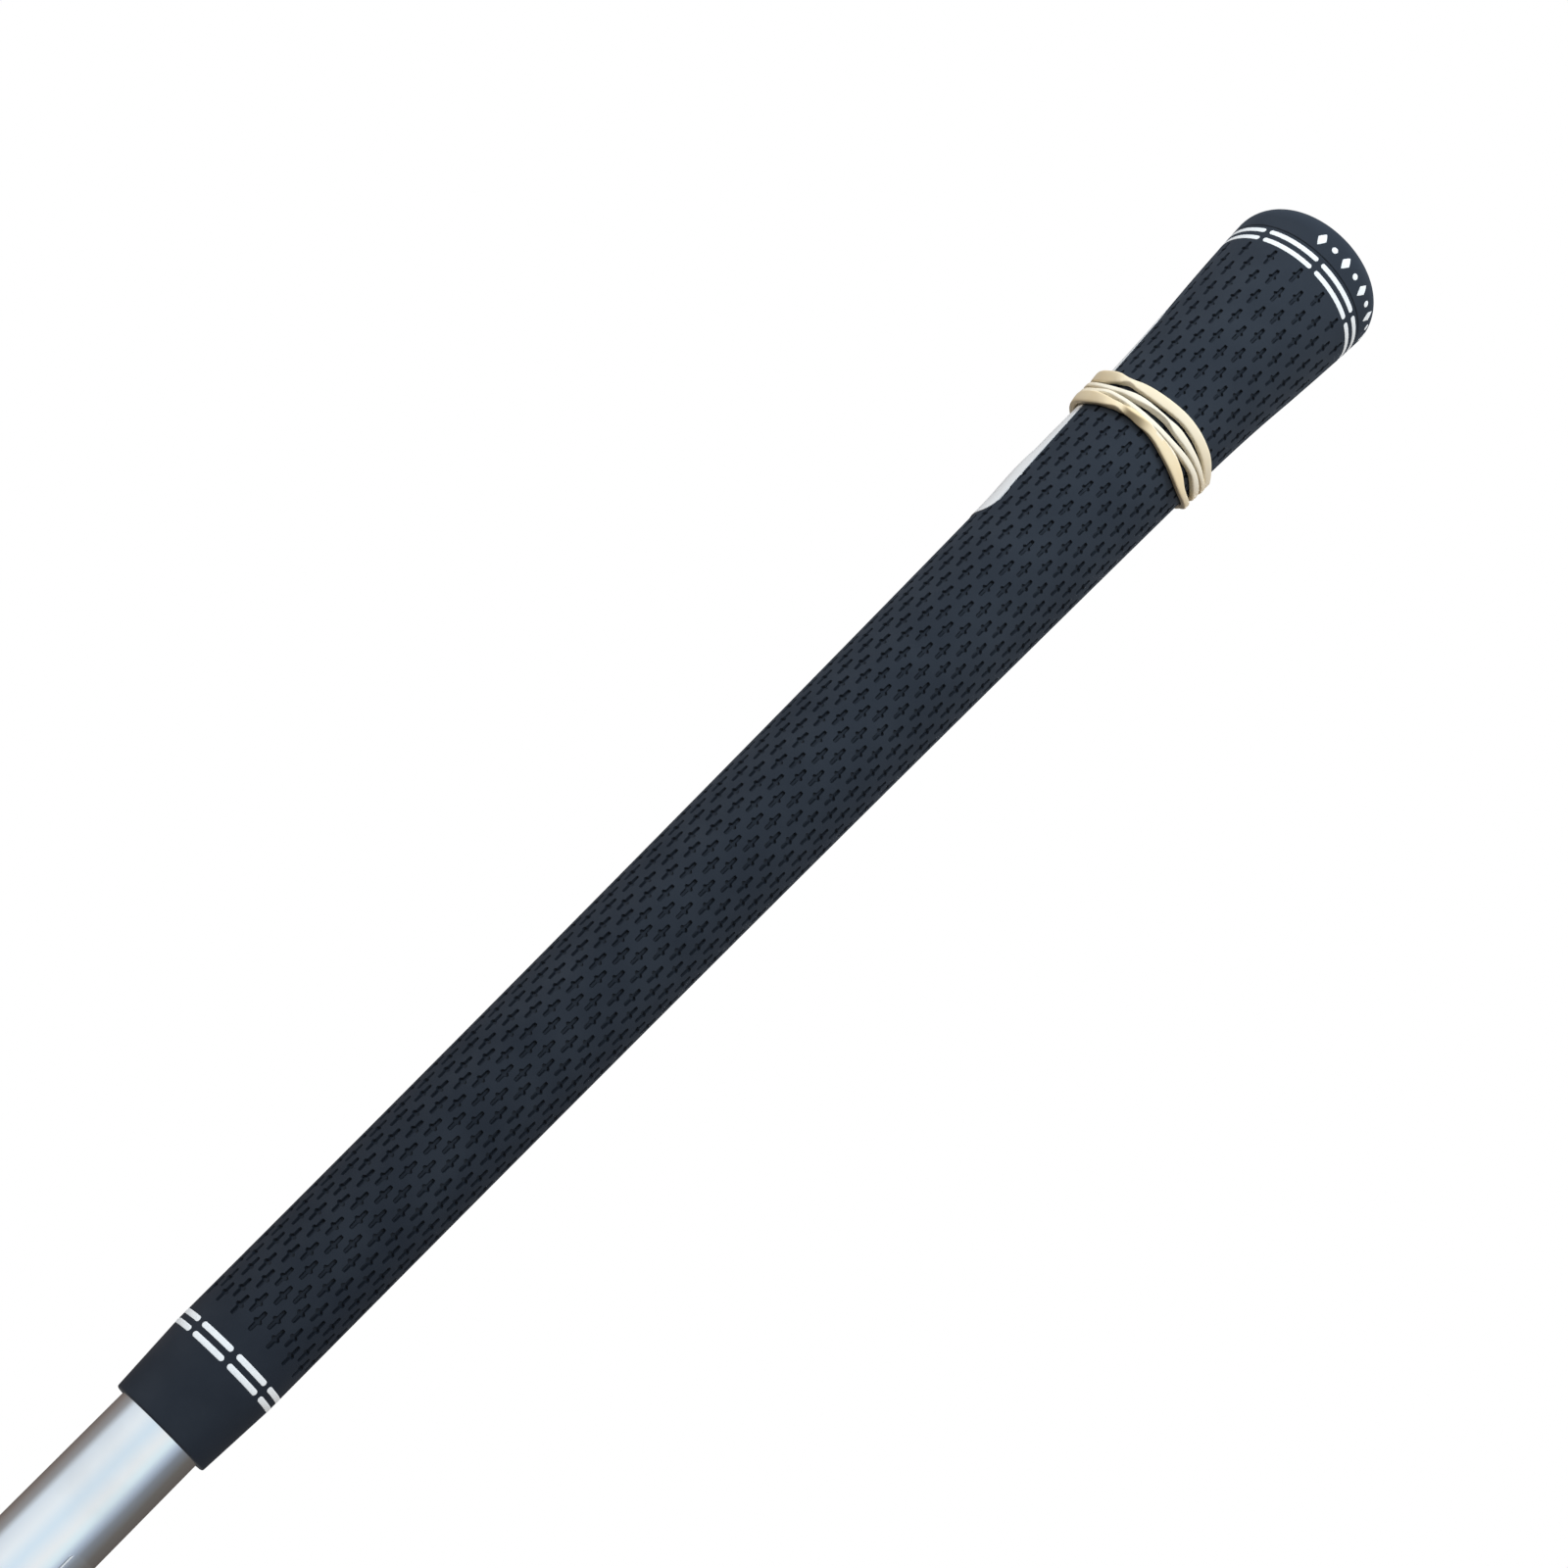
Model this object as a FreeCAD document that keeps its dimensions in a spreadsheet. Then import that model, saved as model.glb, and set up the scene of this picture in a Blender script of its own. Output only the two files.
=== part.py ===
"""Golf grip on a stub of its shaft: a parametric FreeCAD document, in millimetres.

Frame: the origin is on the shaft's axis at its cut lower end. +Z runs along the axis towards the
butt cap. -Y is the face that a player sees with the club at rest in front of them.
Heights named *_height are above the grip's mouth, which is stub_length above the origin.
"""

import FreeCAD
import Part
import math
import os

import Sketcher

SIZES = {
    # shaft: steel tube with one step on the bare stub and one under the grip
    "stub_length": 60.0,          # bare shaft below the grip's mouth
    "tail_length": 27.0,          # from the cut end to the first step
    "tail_radius": 6.95,
    "tail_bore_radius": 6.55,
    "shaft_radius": 7.15,         # between the steps, where the grip's mouth sits
    "shaft_bore_radius": 6.75,
    "butt_radius": 7.37,          # above the upper step, the 0.580 in butt
    "butt_bore_radius": 6.97,
    "step_height": 20.0,
    "step_length": 1.0,
    "shaft_top_height": 261.0,
    # clear film label on the bare shaft
    "film_bottom": 31.0,
    "film_length": 10.0,
    "film_thickness": 0.12,
    "film_gap": 0.02,
    "film_angle": 120.0,
    "film_turn": 300.0,
    # double-sided tape between shaft and sleeve
    "tape_start_height": 3.0,
    "tape_gap": 0.03,
    "tape_thickness": 0.2,
    "tape_seam_angle": 6.0,
    "tape_tuck": 12.0,
    # rubber sleeve
    "mouth_radius": 8.35,
    "lip_height": 12.0,
    "lip_radius": 9.05,
    "waist_height": 220.0,
    "waist_radius": 11.6,
    "flare_height": 240.0,
    "flare_radius": 12.6,
    "parting_height": 258.4,
    "parting_radius": 13.87,
    "body_curve": 12600.0,
    "flare_in_curve": 340.0,
    "flare_out_curve": 560.0,
    "sleeve_gap": 0.05,           # glue film between tape and sleeve
    # butt cap
    "seat_height": 261.4,         # inside face that the shaft's end stops against
    "spigot_height": 255.4,
    "spigot_radius": 11.0,
    "cap_height": 260.8,
    "cap_radius": 13.98,
    "cap_shoulder": 5.6,
    "dome_height": 0.4,
    "dome_curve": 88.0,
    "vent_radius": 1.6,
    # dashed paint rings
    "ring_width": 0.88,
    "ring_depth": 0.2,
    "ring_proud": 0.03,
    "ring_dashes": 8,
    "mouth_ring_height_1": 11.96,
    "mouth_ring_height_2": 13.74,
    "mouth_ring_radius": 9.06,
    "mouth_ring_gap_angle": 5.7,
    "butt_ring_height_1": 255.46,
    "butt_ring_height_2": 257.3,
    "butt_ring_radius_1": 13.7,
    "butt_ring_radius_2": 13.81,
    "butt_ring_taper": 0.025,     # radius gained from a butt ring's middle to its upper edge
    "butt_ring_gap_angle": 3.8,
    # paint-filled marks on the cap's shoulder
    "mark_height": 260.9,
    "mark_half_height": 1.35,
    "mark_half_width": 0.85,
    "mark_dot_radius": 0.55,
    "mark_count": 5,
    "mark_span_angle": 92.0,
    "mark_first_angle": 260.0,
    "mark_skin_top": 263.6,
    "mark_reach": 16.0,           # length of the prisms that cut the marks, from the axis
    "mark_depth": 0.3,
    "mark_proud": 0.03,
    # two latex bands, each a ring round the waist of the grip
    "band_1_height": 221.05,
    "band_2_height": 217.0,
    "band_radius": 12.7,
    "band_thickness": 0.85,
    "band_width": 3.8,
    "band_round": 0.3,
    "band_tilt": 9.3,
    # folded paper slip under the bands
    "slip_bottom_height": 187.0,
    "slip_top_height": 240.0,
    "slip_bottom_radius": 11.05,
    "slip_gap": 0.08,
    "slip_thickness": 0.33,
    "slip_angle": 115.0,
    "slip_turn": 93.0,
    "slip_corner": 2.5,
}

SHEET_NAME = "Sizes"
MARK_GROUPS = 2
FAILED_STATES = ("Invalid", "Error")
LENGTH_MATCH = 0.05               # share of a length within which two lengths count as equal
END_BAND = 1.0                    # an edge this near a shape's end belongs to that end
LEVEL_SLOPE = 0.5                 # a direction whose Z part is under this counts as level


class Size:
    """A length in millimetres or an angle in degrees, with the sheet expression that gives it."""

    def __init__(self, value, text):
        self.value = value
        self.text = text

    def __add__(self, other):
        return Size(self.value + other.value, f"{self.text} + {other.text}")

    def __sub__(self, other):
        return Size(self.value - other.value, f"{self.text} - ({other.text})")

    def __mul__(self, factor):
        return Size(self.value * factor, f"({self.text}) * {factor}")


ZERO = Size(0.0, "0")
FULL_TURN = Size(360.0, "360")


def size(alias):
    """The cell of the sheet that has this alias."""
    return Size(float(SIZES[alias]), f"{SHEET_NAME}.{alias}")


def above_mouth(alias):
    """A height above the mouth, as a height above the origin."""
    return size("stub_length") + size(alias)


def bind(target, prop, value):
    """Binds a property to the cells of the sheet that give its value."""
    target.setExpression(prop, value.text)


def make_sheet(doc):
    """The spreadsheet with one named cell for each driving size."""
    sheet = doc.addObject("Spreadsheet::Sheet", SHEET_NAME)
    for row, (alias, value) in enumerate(SIZES.items(), start=1):
        sheet.set(f"A{row}", alias)
        sheet.set(f"B{row}", str(value))
        sheet.setAlias(f"B{row}", alias)
    doc.recompute()
    return sheet


def make_body(doc, name):
    """An empty body whose label names its part."""
    body = doc.addObject("PartDesign::Body", name)
    body.Label = name
    return body


def origin_plane(body, role):
    """One of the body's own origin planes."""
    return next(item for item in body.Origin.OriginFeatures if item.Role == role)


def add_sketch(body, name, role):
    """A sketch on one of the body's own origin planes."""
    sketch = body.newObject("Sketcher::SketchObject", name)
    sketch.AttachmentSupport = [(origin_plane(body, role), "")]
    sketch.MapMode = "FlatFace"
    return sketch


def pin_point(sketch, geo, pos, name, across, up):
    """Fixes one end of an edge at two sizes from the sketch's origin."""
    for kind, suffix, value in (("DistanceX", "x", across), ("DistanceY", "y", up)):
        index = sketch.addConstraint(Sketcher.Constraint(kind, -1, 1, geo, pos, value.value))
        sketch.renameConstraint(index, f"{name}_{suffix}")
        bind(sketch, f"Constraints.{name}_{suffix}", value)


def arc_between(start, end, radius, side):
    """The short arc of a radius through two points, bulging to the left (1) or right (-1)."""
    chord = end - start
    middle = (start + end) * 0.5
    left = FreeCAD.Vector(-chord.y, chord.x, 0).normalize()
    rise = radius - math.sqrt(radius**2 - (chord.Length / 2) ** 2)
    return Part.Arc(start, middle + left * rise * side, end)


def draw_outline(sketch, corners):
    """Draws a closed outline.

    corners is a list of (across, up, arc): arc is None where a straight edge leads to the next
    corner, and (radius, side) where an arc does.
    """
    points = [FreeCAD.Vector(across.value, up.value, 0) for across, up, _ in corners]
    for index, (_, _, arc) in enumerate(corners):
        start, end = points[index], points[(index + 1) % len(points)]
        if arc is None:
            sketch.addGeometry(Part.LineSegment(start, end))
        else:
            sketch.addGeometry(arc_between(start, end, arc[0].value, arc[1]))
    ends = [arc_ends(arc) for _, _, arc in corners]
    for index in range(len(corners)):
        following = (index + 1) % len(corners)
        sketch.addConstraint(
            Sketcher.Constraint("Coincident", index, ends[index][1], following, ends[following][0])
        )
    for index, (across, up, arc) in enumerate(corners):
        pin_point(sketch, index, ends[index][0], f"corner_{index}", across, up)
        if arc is not None:
            number = sketch.addConstraint(Sketcher.Constraint("Radius", index, arc[0].value))
            sketch.renameConstraint(number, f"curve_{index}")
            bind(sketch, f"Constraints.curve_{index}", arc[0])


def arc_ends(arc):
    """The sketch's numbers for the first and last point of an edge.

    A stored arc runs anticlockwise, so one that bulges to the left of its direction of travel
    was drawn clockwise and has its ends the other way round.
    """
    return (2, 1) if arc is not None and arc[1] > 0 else (1, 2)


def revolve(body, sketch, angle=None, midplane=False):
    """Turns a sketch about the vertical axis, through a full turn or an angle from the sheet."""
    turned = body.newObject("PartDesign::Revolution", f"{body.Name}_turn")
    turned.Profile = sketch
    turned.ReferenceAxis = (sketch, ["V_Axis"])
    turned.Angle = 360.0 if angle is None else angle.value
    if angle is not None:
        bind(turned, "Angle", angle)
    turned.Midplane = midplane
    return turned


def revolved_body(doc, name, corners, angle=None, midplane=False):
    """A body turned from one closed outline in the XZ plane."""
    body = make_body(doc, name)
    sketch = add_sketch(body, f"{name}_outline", "XZ_Plane")
    draw_outline(sketch, corners)
    revolve(body, sketch, angle, midplane)
    return body


def turn_body(body, angle):
    """Turns a body about the vertical axis."""
    body.Placement = FreeCAD.Placement(
        FreeCAD.Vector(), FreeCAD.Rotation(FreeCAD.Vector(0, 0, 1), angle.value)
    )
    bind(body, "Placement.Rotation.Angle", angle)


def polar_copies(body, originals, count, span):
    """Repeats features about the vertical axis and makes the pattern the body's tip."""
    pattern = body.newObject("PartDesign::PolarPattern", f"{originals[0].Name}_row")
    pattern.Originals = originals
    pattern.Axis = (next(i for i in body.Origin.OriginFeatures if i.Role == "Z_Axis"), [""])
    pattern.Angle = span.value
    bind(pattern, "Angle", span)
    pattern.Occurrences = int(count.value)
    bind(pattern, "Occurrences", count)
    body.Tip = pattern
    return pattern


def make_shaft(doc):
    """The steel tube: bare stub with a step, a hidden step, and the butt that the grip sits on."""
    step_top = above_mouth("step_height") + size("step_length")
    tail_top = size("tail_length") + size("step_length")
    return revolved_body(doc, "shaft_tube", [
        (size("tail_bore_radius"), ZERO, None),
        (size("tail_radius"), ZERO, None),
        (size("tail_radius"), size("tail_length"), None),
        (size("shaft_radius"), tail_top, None),
        (size("shaft_radius"), above_mouth("step_height"), None),
        (size("butt_radius"), step_top, None),
        (size("butt_radius"), above_mouth("shaft_top_height"), None),
        (size("butt_bore_radius"), above_mouth("shaft_top_height"), None),
        (size("butt_bore_radius"), step_top, None),
        (size("shaft_bore_radius"), above_mouth("step_height"), None),
        (size("shaft_bore_radius"), tail_top, None),
        (size("tail_bore_radius"), size("tail_length"), None),
    ])


def make_film(doc):
    """The clear film label, wrapped part of the way round the bare shaft."""
    inner = size("shaft_radius") + size("film_gap")
    outer = inner + size("film_thickness")
    top = size("film_bottom") + size("film_length")
    body = revolved_body(doc, "shaft_film", [
        (inner, size("film_bottom"), None),
        (outer, size("film_bottom"), None),
        (outer, top, None),
        (inner, top, None),
    ], size("film_angle"))
    turn_body(body, size("film_turn"))
    return body


def make_tape(doc):
    """The tape: a sleeve with a lengthwise seam, turned in over the shaft's end."""
    gap, thick = size("tape_gap"), size("tape_thickness")
    start, step = above_mouth("tape_start_height"), above_mouth("step_height")
    step_top = step + size("step_length")
    shaft_top = above_mouth("shaft_top_height")
    low, high = size("shaft_radius") + gap, size("butt_radius") + gap
    tucked = size("butt_bore_radius") - gap
    return revolved_body(doc, "grip_tape", [
        (low, start, None),
        (low + thick, start, None),
        (low + thick, step, None),
        (high + thick, step_top, None),
        (high + thick, shaft_top + gap + thick, None),
        (tucked - thick, shaft_top + gap + thick, None),
        (tucked - thick, shaft_top - size("tape_tuck"), None),
        (tucked, shaft_top - size("tape_tuck"), None),
        (tucked, shaft_top + gap, None),
        (high, shaft_top + gap, None),
        (high, step_top, None),
        (low, step, None),
    ], FULL_TURN - size("tape_seam_angle"))


def sleeve_bore(low=True):
    """The radius of the sleeve's bore, below or above the shaft's step."""
    shaft = size("shaft_radius") if low else size("butt_radius")
    return shaft + size("tape_gap") + size("tape_thickness") + size("sleeve_gap")


def make_sleeve(doc):
    """The rubber sleeve: a plain tapered lip, a long hollow-curved body and a flared butt."""
    step = above_mouth("step_height")
    seal = size("shaft_radius") + size("sleeve_gap")
    spigot = size("spigot_radius") + size("sleeve_gap")
    spigot_low = above_mouth("spigot_height") - size("sleeve_gap")
    return revolved_body(doc, "sleeve_blank", [
        (seal, size("stub_length"), None),
        (size("mouth_radius"), size("stub_length"), None),
        (size("lip_radius"), above_mouth("lip_height"), (size("body_curve"), 1)),
        (size("waist_radius"), above_mouth("waist_height"), (size("flare_in_curve"), 1)),
        (size("flare_radius"), above_mouth("flare_height"), (size("flare_out_curve"), -1)),
        (size("parting_radius"), above_mouth("parting_height"), None),
        (spigot, above_mouth("parting_height"), None),
        (spigot, spigot_low, None),
        (sleeve_bore(low=False), spigot_low, None),
        (sleeve_bore(low=False), step + size("step_length"), None),
        (sleeve_bore(), step, None),
        (sleeve_bore(), above_mouth("tape_start_height") - size("sleeve_gap"), None),
        (seal, above_mouth("tape_start_height") - size("sleeve_gap"), None),
    ])


def make_cap(doc):
    """The butt cap: spigot, seat for the shaft's end, shoulder, dome and vent hole."""
    parting = above_mouth("parting_height") + size("sleeve_gap")
    shoulder_top = above_mouth("cap_height") + size("cap_shoulder")
    return revolved_body(doc, "cap_blank", [
        (size("parting_radius"), parting, None),
        (size("cap_radius"), above_mouth("cap_height"), (size("cap_shoulder"), -1)),
        (size("cap_radius") - size("cap_shoulder"), shoulder_top, (size("dome_curve"), -1)),
        (size("vent_radius"), shoulder_top + size("dome_height"), None),
        (size("vent_radius"), above_mouth("seat_height"), None),
        (sleeve_bore(low=False), above_mouth("seat_height"), None),
        (sleeve_bore(low=False), above_mouth("spigot_height"), None),
        (size("spigot_radius"), above_mouth("spigot_height"), None),
        (size("spigot_radius"), parting, None),
    ])


def make_ring(doc, name, height, low_radius, high_radius, gap_angle):
    """One dashed ring of paint: equal arcs with a gap between each two.

    low_radius and high_radius are the sleeve's radius at the ring's lower and upper edge.
    """
    half = size("ring_width") * 0.5
    middle = above_mouth(height)
    low, high = middle - half, middle + half
    depth, proud = size("ring_depth"), size("ring_proud")
    pitch = 360.0 / SIZES["ring_dashes"]
    angle = Size(pitch, f"360 / {SHEET_NAME}.ring_dashes") - size(gap_angle)
    body = revolved_body(doc, name, [
        (low_radius - depth, low, None),
        (low_radius + proud, low, None),
        (high_radius + proud, high, None),
        (high_radius - depth, high, None),
    ], angle, midplane=True)
    polar_copies(body, [body.Tip], size("ring_dashes"), FULL_TURN)
    turn_body(body, Size(pitch / 2, f"180 / {SHEET_NAME}.ring_dashes"))
    return body


def make_rings(doc):
    """The four dashed rings, two at the mouth and two at the butt."""
    mouth = size("mouth_ring_radius")
    low, high = size("butt_ring_radius_1"), size("butt_ring_radius_2")
    rise = size("butt_ring_taper")
    gap_mouth, gap_butt = "mouth_ring_gap_angle", "butt_ring_gap_angle"
    return [
        make_ring(doc, "mouth_ring_paint_lower", "mouth_ring_height_1", mouth, mouth, gap_mouth),
        make_ring(doc, "mouth_ring_paint_upper", "mouth_ring_height_2", mouth, mouth, gap_mouth),
        make_ring(doc, "butt_ring_paint_lower", "butt_ring_height_1", low - rise, low + rise, gap_butt),
        make_ring(doc, "butt_ring_paint_upper", "butt_ring_height_2", high - rise, high + rise, gap_butt),
    ]


def make_lozenges(doc, group, turn):
    """The row of lozenge prisms of one group of marks."""
    body = make_body(doc, f"lozenges_{group}")
    middle = above_mouth("mark_height")
    wide, tall = size("mark_half_width"), size("mark_half_height")
    sketch = add_sketch(body, f"lozenge_{group}_shape", "YZ_Plane")
    draw_outline(sketch, [
        (wide, middle, None),
        (ZERO, middle + tall, None),
        (ZERO - wide, middle, None),
        (ZERO, middle - tall, None),
    ])
    pad = body.newObject("PartDesign::Pad", f"lozenge_{group}")
    pad.Profile = sketch
    bind(pad, "Length", size("mark_reach"))
    doc.recompute()
    polar_copies(body, [pad], size("mark_count"), size("mark_span_angle"))
    turn_body(body, turn)
    return body


def make_dots(doc, group, turn):
    """The row of round prisms between the lozenges of one group of marks."""
    body = make_body(doc, f"dots_{group}")
    middle = above_mouth("mark_height")
    radius = size("mark_dot_radius")
    sketch = add_sketch(body, f"dot_{group}_shape", "YZ_Plane")
    centre = FreeCAD.Vector(0, middle.value, 0)
    sketch.addGeometry(Part.Circle(centre, FreeCAD.Vector(0, 0, 1), radius.value))
    pin_point(sketch, 0, 3, "centre", ZERO, middle)
    number = sketch.addConstraint(Sketcher.Constraint("Radius", 0, radius.value))
    sketch.renameConstraint(number, "dot_radius")
    bind(sketch, "Constraints.dot_radius", radius)
    pad = body.newObject("PartDesign::Pad", f"dot_{group}")
    pad.Profile = sketch
    bind(pad, "Length", size("mark_reach"))
    doc.recompute()
    count = size("mark_count")
    steps = count.value - 1
    pitch = Size(size("mark_span_angle").value / steps,
                 f"{SHEET_NAME}.mark_span_angle / ({SHEET_NAME}.mark_count - 1)")
    fewer = Size(steps, f"{SHEET_NAME}.mark_count - 1")
    polar_copies(body, [pad], fewer, size("mark_span_angle") - pitch)
    turn_body(body, turn + pitch * 0.5)
    return body


def make_marks(doc):
    """The paint-filled marks: where the rows of prisms meet a skin at the cap's shoulder."""
    depth, proud = size("mark_depth"), size("mark_proud")
    parting = above_mouth("parting_height")
    inner, outer = size("cap_radius") - depth, size("cap_radius") + proud
    bend = above_mouth("cap_height")
    shoulder, top = size("cap_shoulder"), above_mouth("mark_skin_top")
    drop = shoulder.value - math.sqrt(shoulder.value**2 - (top.value - bend.value) ** 2)
    fall = Size(drop, f"{shoulder.text} - sqrt(({shoulder.text})^2 - ({top.text} - ({bend.text}))^2)")
    skin = revolved_body(doc, "mark_skin", [
        (size("parting_radius") - depth, parting, None),
        (size("parting_radius") + proud, parting, None),
        (outer, bend, (shoulder + proud, -1)),
        (outer - fall, top, None),
        (inner - fall, top, (shoulder - depth, 1)),
        (inner, bend, None),
    ])
    rows = []
    for group in range(MARK_GROUPS):
        turn = size("mark_first_angle") + FULL_TURN * (group / MARK_GROUPS)
        rows.append(make_lozenges(doc, group, turn))
        rows.append(make_dots(doc, group, turn))
    prisms = doc.addObject("Part::MultiFuse", "mark_prisms")
    prisms.Shapes = rows
    marks = doc.addObject("Part::MultiCommon", "cap_mark_paint")
    marks.Label = "cap_mark_paint"
    marks.Shapes = [skin, prisms]
    return marks


def cut(doc, name, base, tools):
    """A part cut from its blank by the paint that lies in it."""
    tool = tools[0]
    if len(tools) > 1:
        tool = doc.addObject("Part::MultiFuse", f"{name}_pockets")
        tool.Shapes = tools
    result = doc.addObject("Part::Cut", name)
    result.Label = name
    result.Base = base
    result.Tool = tool
    return result


def make_band(doc, name, height_alias):
    """One latex band as a plain flat ring, tilted up at the back of the grip."""
    half = size("band_width") * 0.5
    inner = size("band_radius")
    outer = inner + size("band_thickness")
    body = revolved_body(doc, name, [
        (inner, ZERO - half, None),
        (outer, ZERO - half, None),
        (outer, half, None),
        (inner, half, None),
    ])
    doc.recompute()
    round_edges(body, ring_edges(body.Tip.Shape), size("band_round"))
    body.Placement = FreeCAD.Placement(
        FreeCAD.Vector(0, 0, above_mouth(height_alias).value),
        FreeCAD.Rotation(FreeCAD.Vector(1, 0, 0), SIZES["band_tilt"]),
    )
    bind(body, "Placement.Base.z", above_mouth(height_alias))
    bind(body, "Placement.Rotation.Angle", size("band_tilt"))
    return body


def round_edges(body, edges, radius):
    """Rounds named edges of the body's last feature."""
    base = body.Tip
    rounded = body.newObject("PartDesign::Fillet", f"{body.Name}_round")
    rounded.Base = (base, edges)
    rounded.Radius = radius.value
    bind(rounded, "Radius", radius)
    body.Tip = rounded


def ring_edges(shape):
    """The names of a ring's round edges."""
    return [f"Edge{n}" for n, edge in enumerate(shape.Edges, start=1) if is_circle(edge)]


def is_circle(edge):
    """Whether an edge lies on a circle."""
    return isinstance(edge.Curve, Part.Circle)


def make_slip(doc):
    """The folded paper slip, bent round the side and back of the grip, with rounded corners."""
    gap, thick = size("slip_gap"), size("slip_thickness")
    flare = size("flare_radius") + gap
    waist = size("waist_radius") + gap
    bottom = above_mouth("slip_bottom_height")
    foot = size("slip_bottom_radius")
    body = revolved_body(doc, "label_slip", [
        (foot, bottom, None),
        (foot + thick, bottom, None),
        (waist + thick, above_mouth("waist_height"), None),
        (flare + thick, above_mouth("slip_top_height"), None),
        (flare, above_mouth("slip_top_height"), None),
        (waist, above_mouth("waist_height"), None),
    ], size("slip_angle"))
    doc.recompute()
    corners = corner_edges(body.Tip.Shape, SIZES["slip_thickness"])
    round_edges(body, corners, size("slip_corner"))
    turn_body(body, size("slip_turn"))
    return body


def corner_edges(shape, thickness):
    """The names of a sheet's corner edges, which are straight and as long as it is thick."""
    return [
        f"Edge{n}"
        for n, edge in enumerate(shape.Edges, start=1)
        if isinstance(edge.Curve, Part.Line)
        and abs(edge.Length - thickness) < thickness * LENGTH_MATCH
        and abs(edge.tangentAt(edge.FirstParameter).z) < LEVEL_SLOPE
        and edge_at_end(shape, edge)
    ]


def edge_at_end(shape, edge):
    """Whether an edge is at the top or the bottom of a shape."""
    middle = edge.CenterOfMass.z
    box = shape.BoundBox
    return min(middle - box.ZMin, box.ZMax - middle) < END_BAND


def build(doc):
    """Makes every part and returns the objects to export, each labelled with its node's name."""
    rings = make_rings(doc)
    marks = make_marks(doc)
    return [
        make_shaft(doc),
        make_film(doc),
        make_tape(doc),
        cut(doc, "grip_sleeve", make_sleeve(doc), rings),
        cut(doc, "butt_cap", make_cap(doc), [marks]),
        *rings,
        marks,
        make_band(doc, "rubber_band_1", "band_1_height"),
        make_band(doc, "rubber_band_2", "band_2_height"),
        make_slip(doc),
    ]


def check_document(doc):
    """Stops if any object of the document failed to compute."""
    for item in doc.Objects:
        failed = [state for state in item.State if state in FAILED_STATES]
        if failed:
            raise RuntimeError(f"{item.Label}: {failed}")


def check_part(part):
    """Stops if a part has no valid solid."""
    shape = part.Shape
    if shape.isNull() or not shape.isValid() or not shape.Solids:
        raise RuntimeError(f"{part.Label}: no valid solid")


def main():
    """Builds the document, checks it and writes one STEP file for each part."""
    doc = FreeCAD.newDocument("golf_grip")
    make_sheet(doc)
    parts = build(doc)
    doc.recompute()
    check_document(doc)
    os.makedirs("parts", exist_ok=True)
    for part in parts:
        check_part(part)
        part.Shape.exportStep(os.path.join("parts", f"{part.Label}.step"))
        print(part.Label, len(part.Shape.Solids), "solids", round(part.Shape.Volume, 2), "mm3")


main()
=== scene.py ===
"""Looks of a rubber golf grip on the stub of its shaft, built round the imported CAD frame.

Sizes are in millimetres and heights are above the grip's mouth, until a mesh is finished and put
into the frame, which is in metres. Angles run round the shaft from the face turned to the player
(-Y), positive towards +X.
"""

import logging
import math
from collections.abc import Callable, Sequence
from dataclasses import dataclass, field
from enum import Enum
from typing import ClassVar

import bmesh
import bpy
from mathutils import Matrix, Vector, noise
from mathutils.kdtree import KDTree


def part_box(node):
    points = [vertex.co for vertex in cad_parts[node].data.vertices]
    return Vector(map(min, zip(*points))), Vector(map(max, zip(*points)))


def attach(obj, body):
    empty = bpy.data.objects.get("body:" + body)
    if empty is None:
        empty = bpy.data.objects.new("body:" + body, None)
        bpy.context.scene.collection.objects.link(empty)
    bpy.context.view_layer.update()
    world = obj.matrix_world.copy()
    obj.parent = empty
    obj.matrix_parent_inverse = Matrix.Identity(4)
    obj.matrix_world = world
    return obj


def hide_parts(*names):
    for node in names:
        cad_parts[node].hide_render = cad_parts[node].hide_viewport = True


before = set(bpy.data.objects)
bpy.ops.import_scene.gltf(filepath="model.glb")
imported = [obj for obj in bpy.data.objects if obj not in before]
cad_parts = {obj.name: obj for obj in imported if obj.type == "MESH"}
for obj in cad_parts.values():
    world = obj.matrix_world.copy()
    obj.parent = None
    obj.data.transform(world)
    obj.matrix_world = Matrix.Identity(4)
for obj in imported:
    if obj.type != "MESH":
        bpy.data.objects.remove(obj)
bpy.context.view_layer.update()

LOG = logging.getLogger("golf_grip")
MM = 0.001
BODY = "root"
TURN = 2.0 * math.pi
WELD = 1e-5
MOUTH_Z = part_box("grip_sleeve")[0].z / MM
CAP_TOP_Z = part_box("butt_cap")[1].z / MM


# ---------------------------------------------------------------------------------------------
# Shape helpers


@dataclass(frozen=True)
class Bend:
    """One stretch of an outline between two heights, straight or gently curved."""

    low: float
    low_radius: float
    high: float
    high_radius: float
    curve: float = math.inf

    def radius(self, height: float) -> float:
        """The outline's radius at a height.

        Args:
            height: Height above the mouth.

        Returns:
            The radius. A positive curve is hollow, a negative one full.
        """
        share = (height - self.low) / (self.high - self.low)
        chord = self.low_radius + share * (self.high_radius - self.low_radius)
        return chord - (height - self.low) * (self.high - height) / (2.0 * self.curve)


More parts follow.
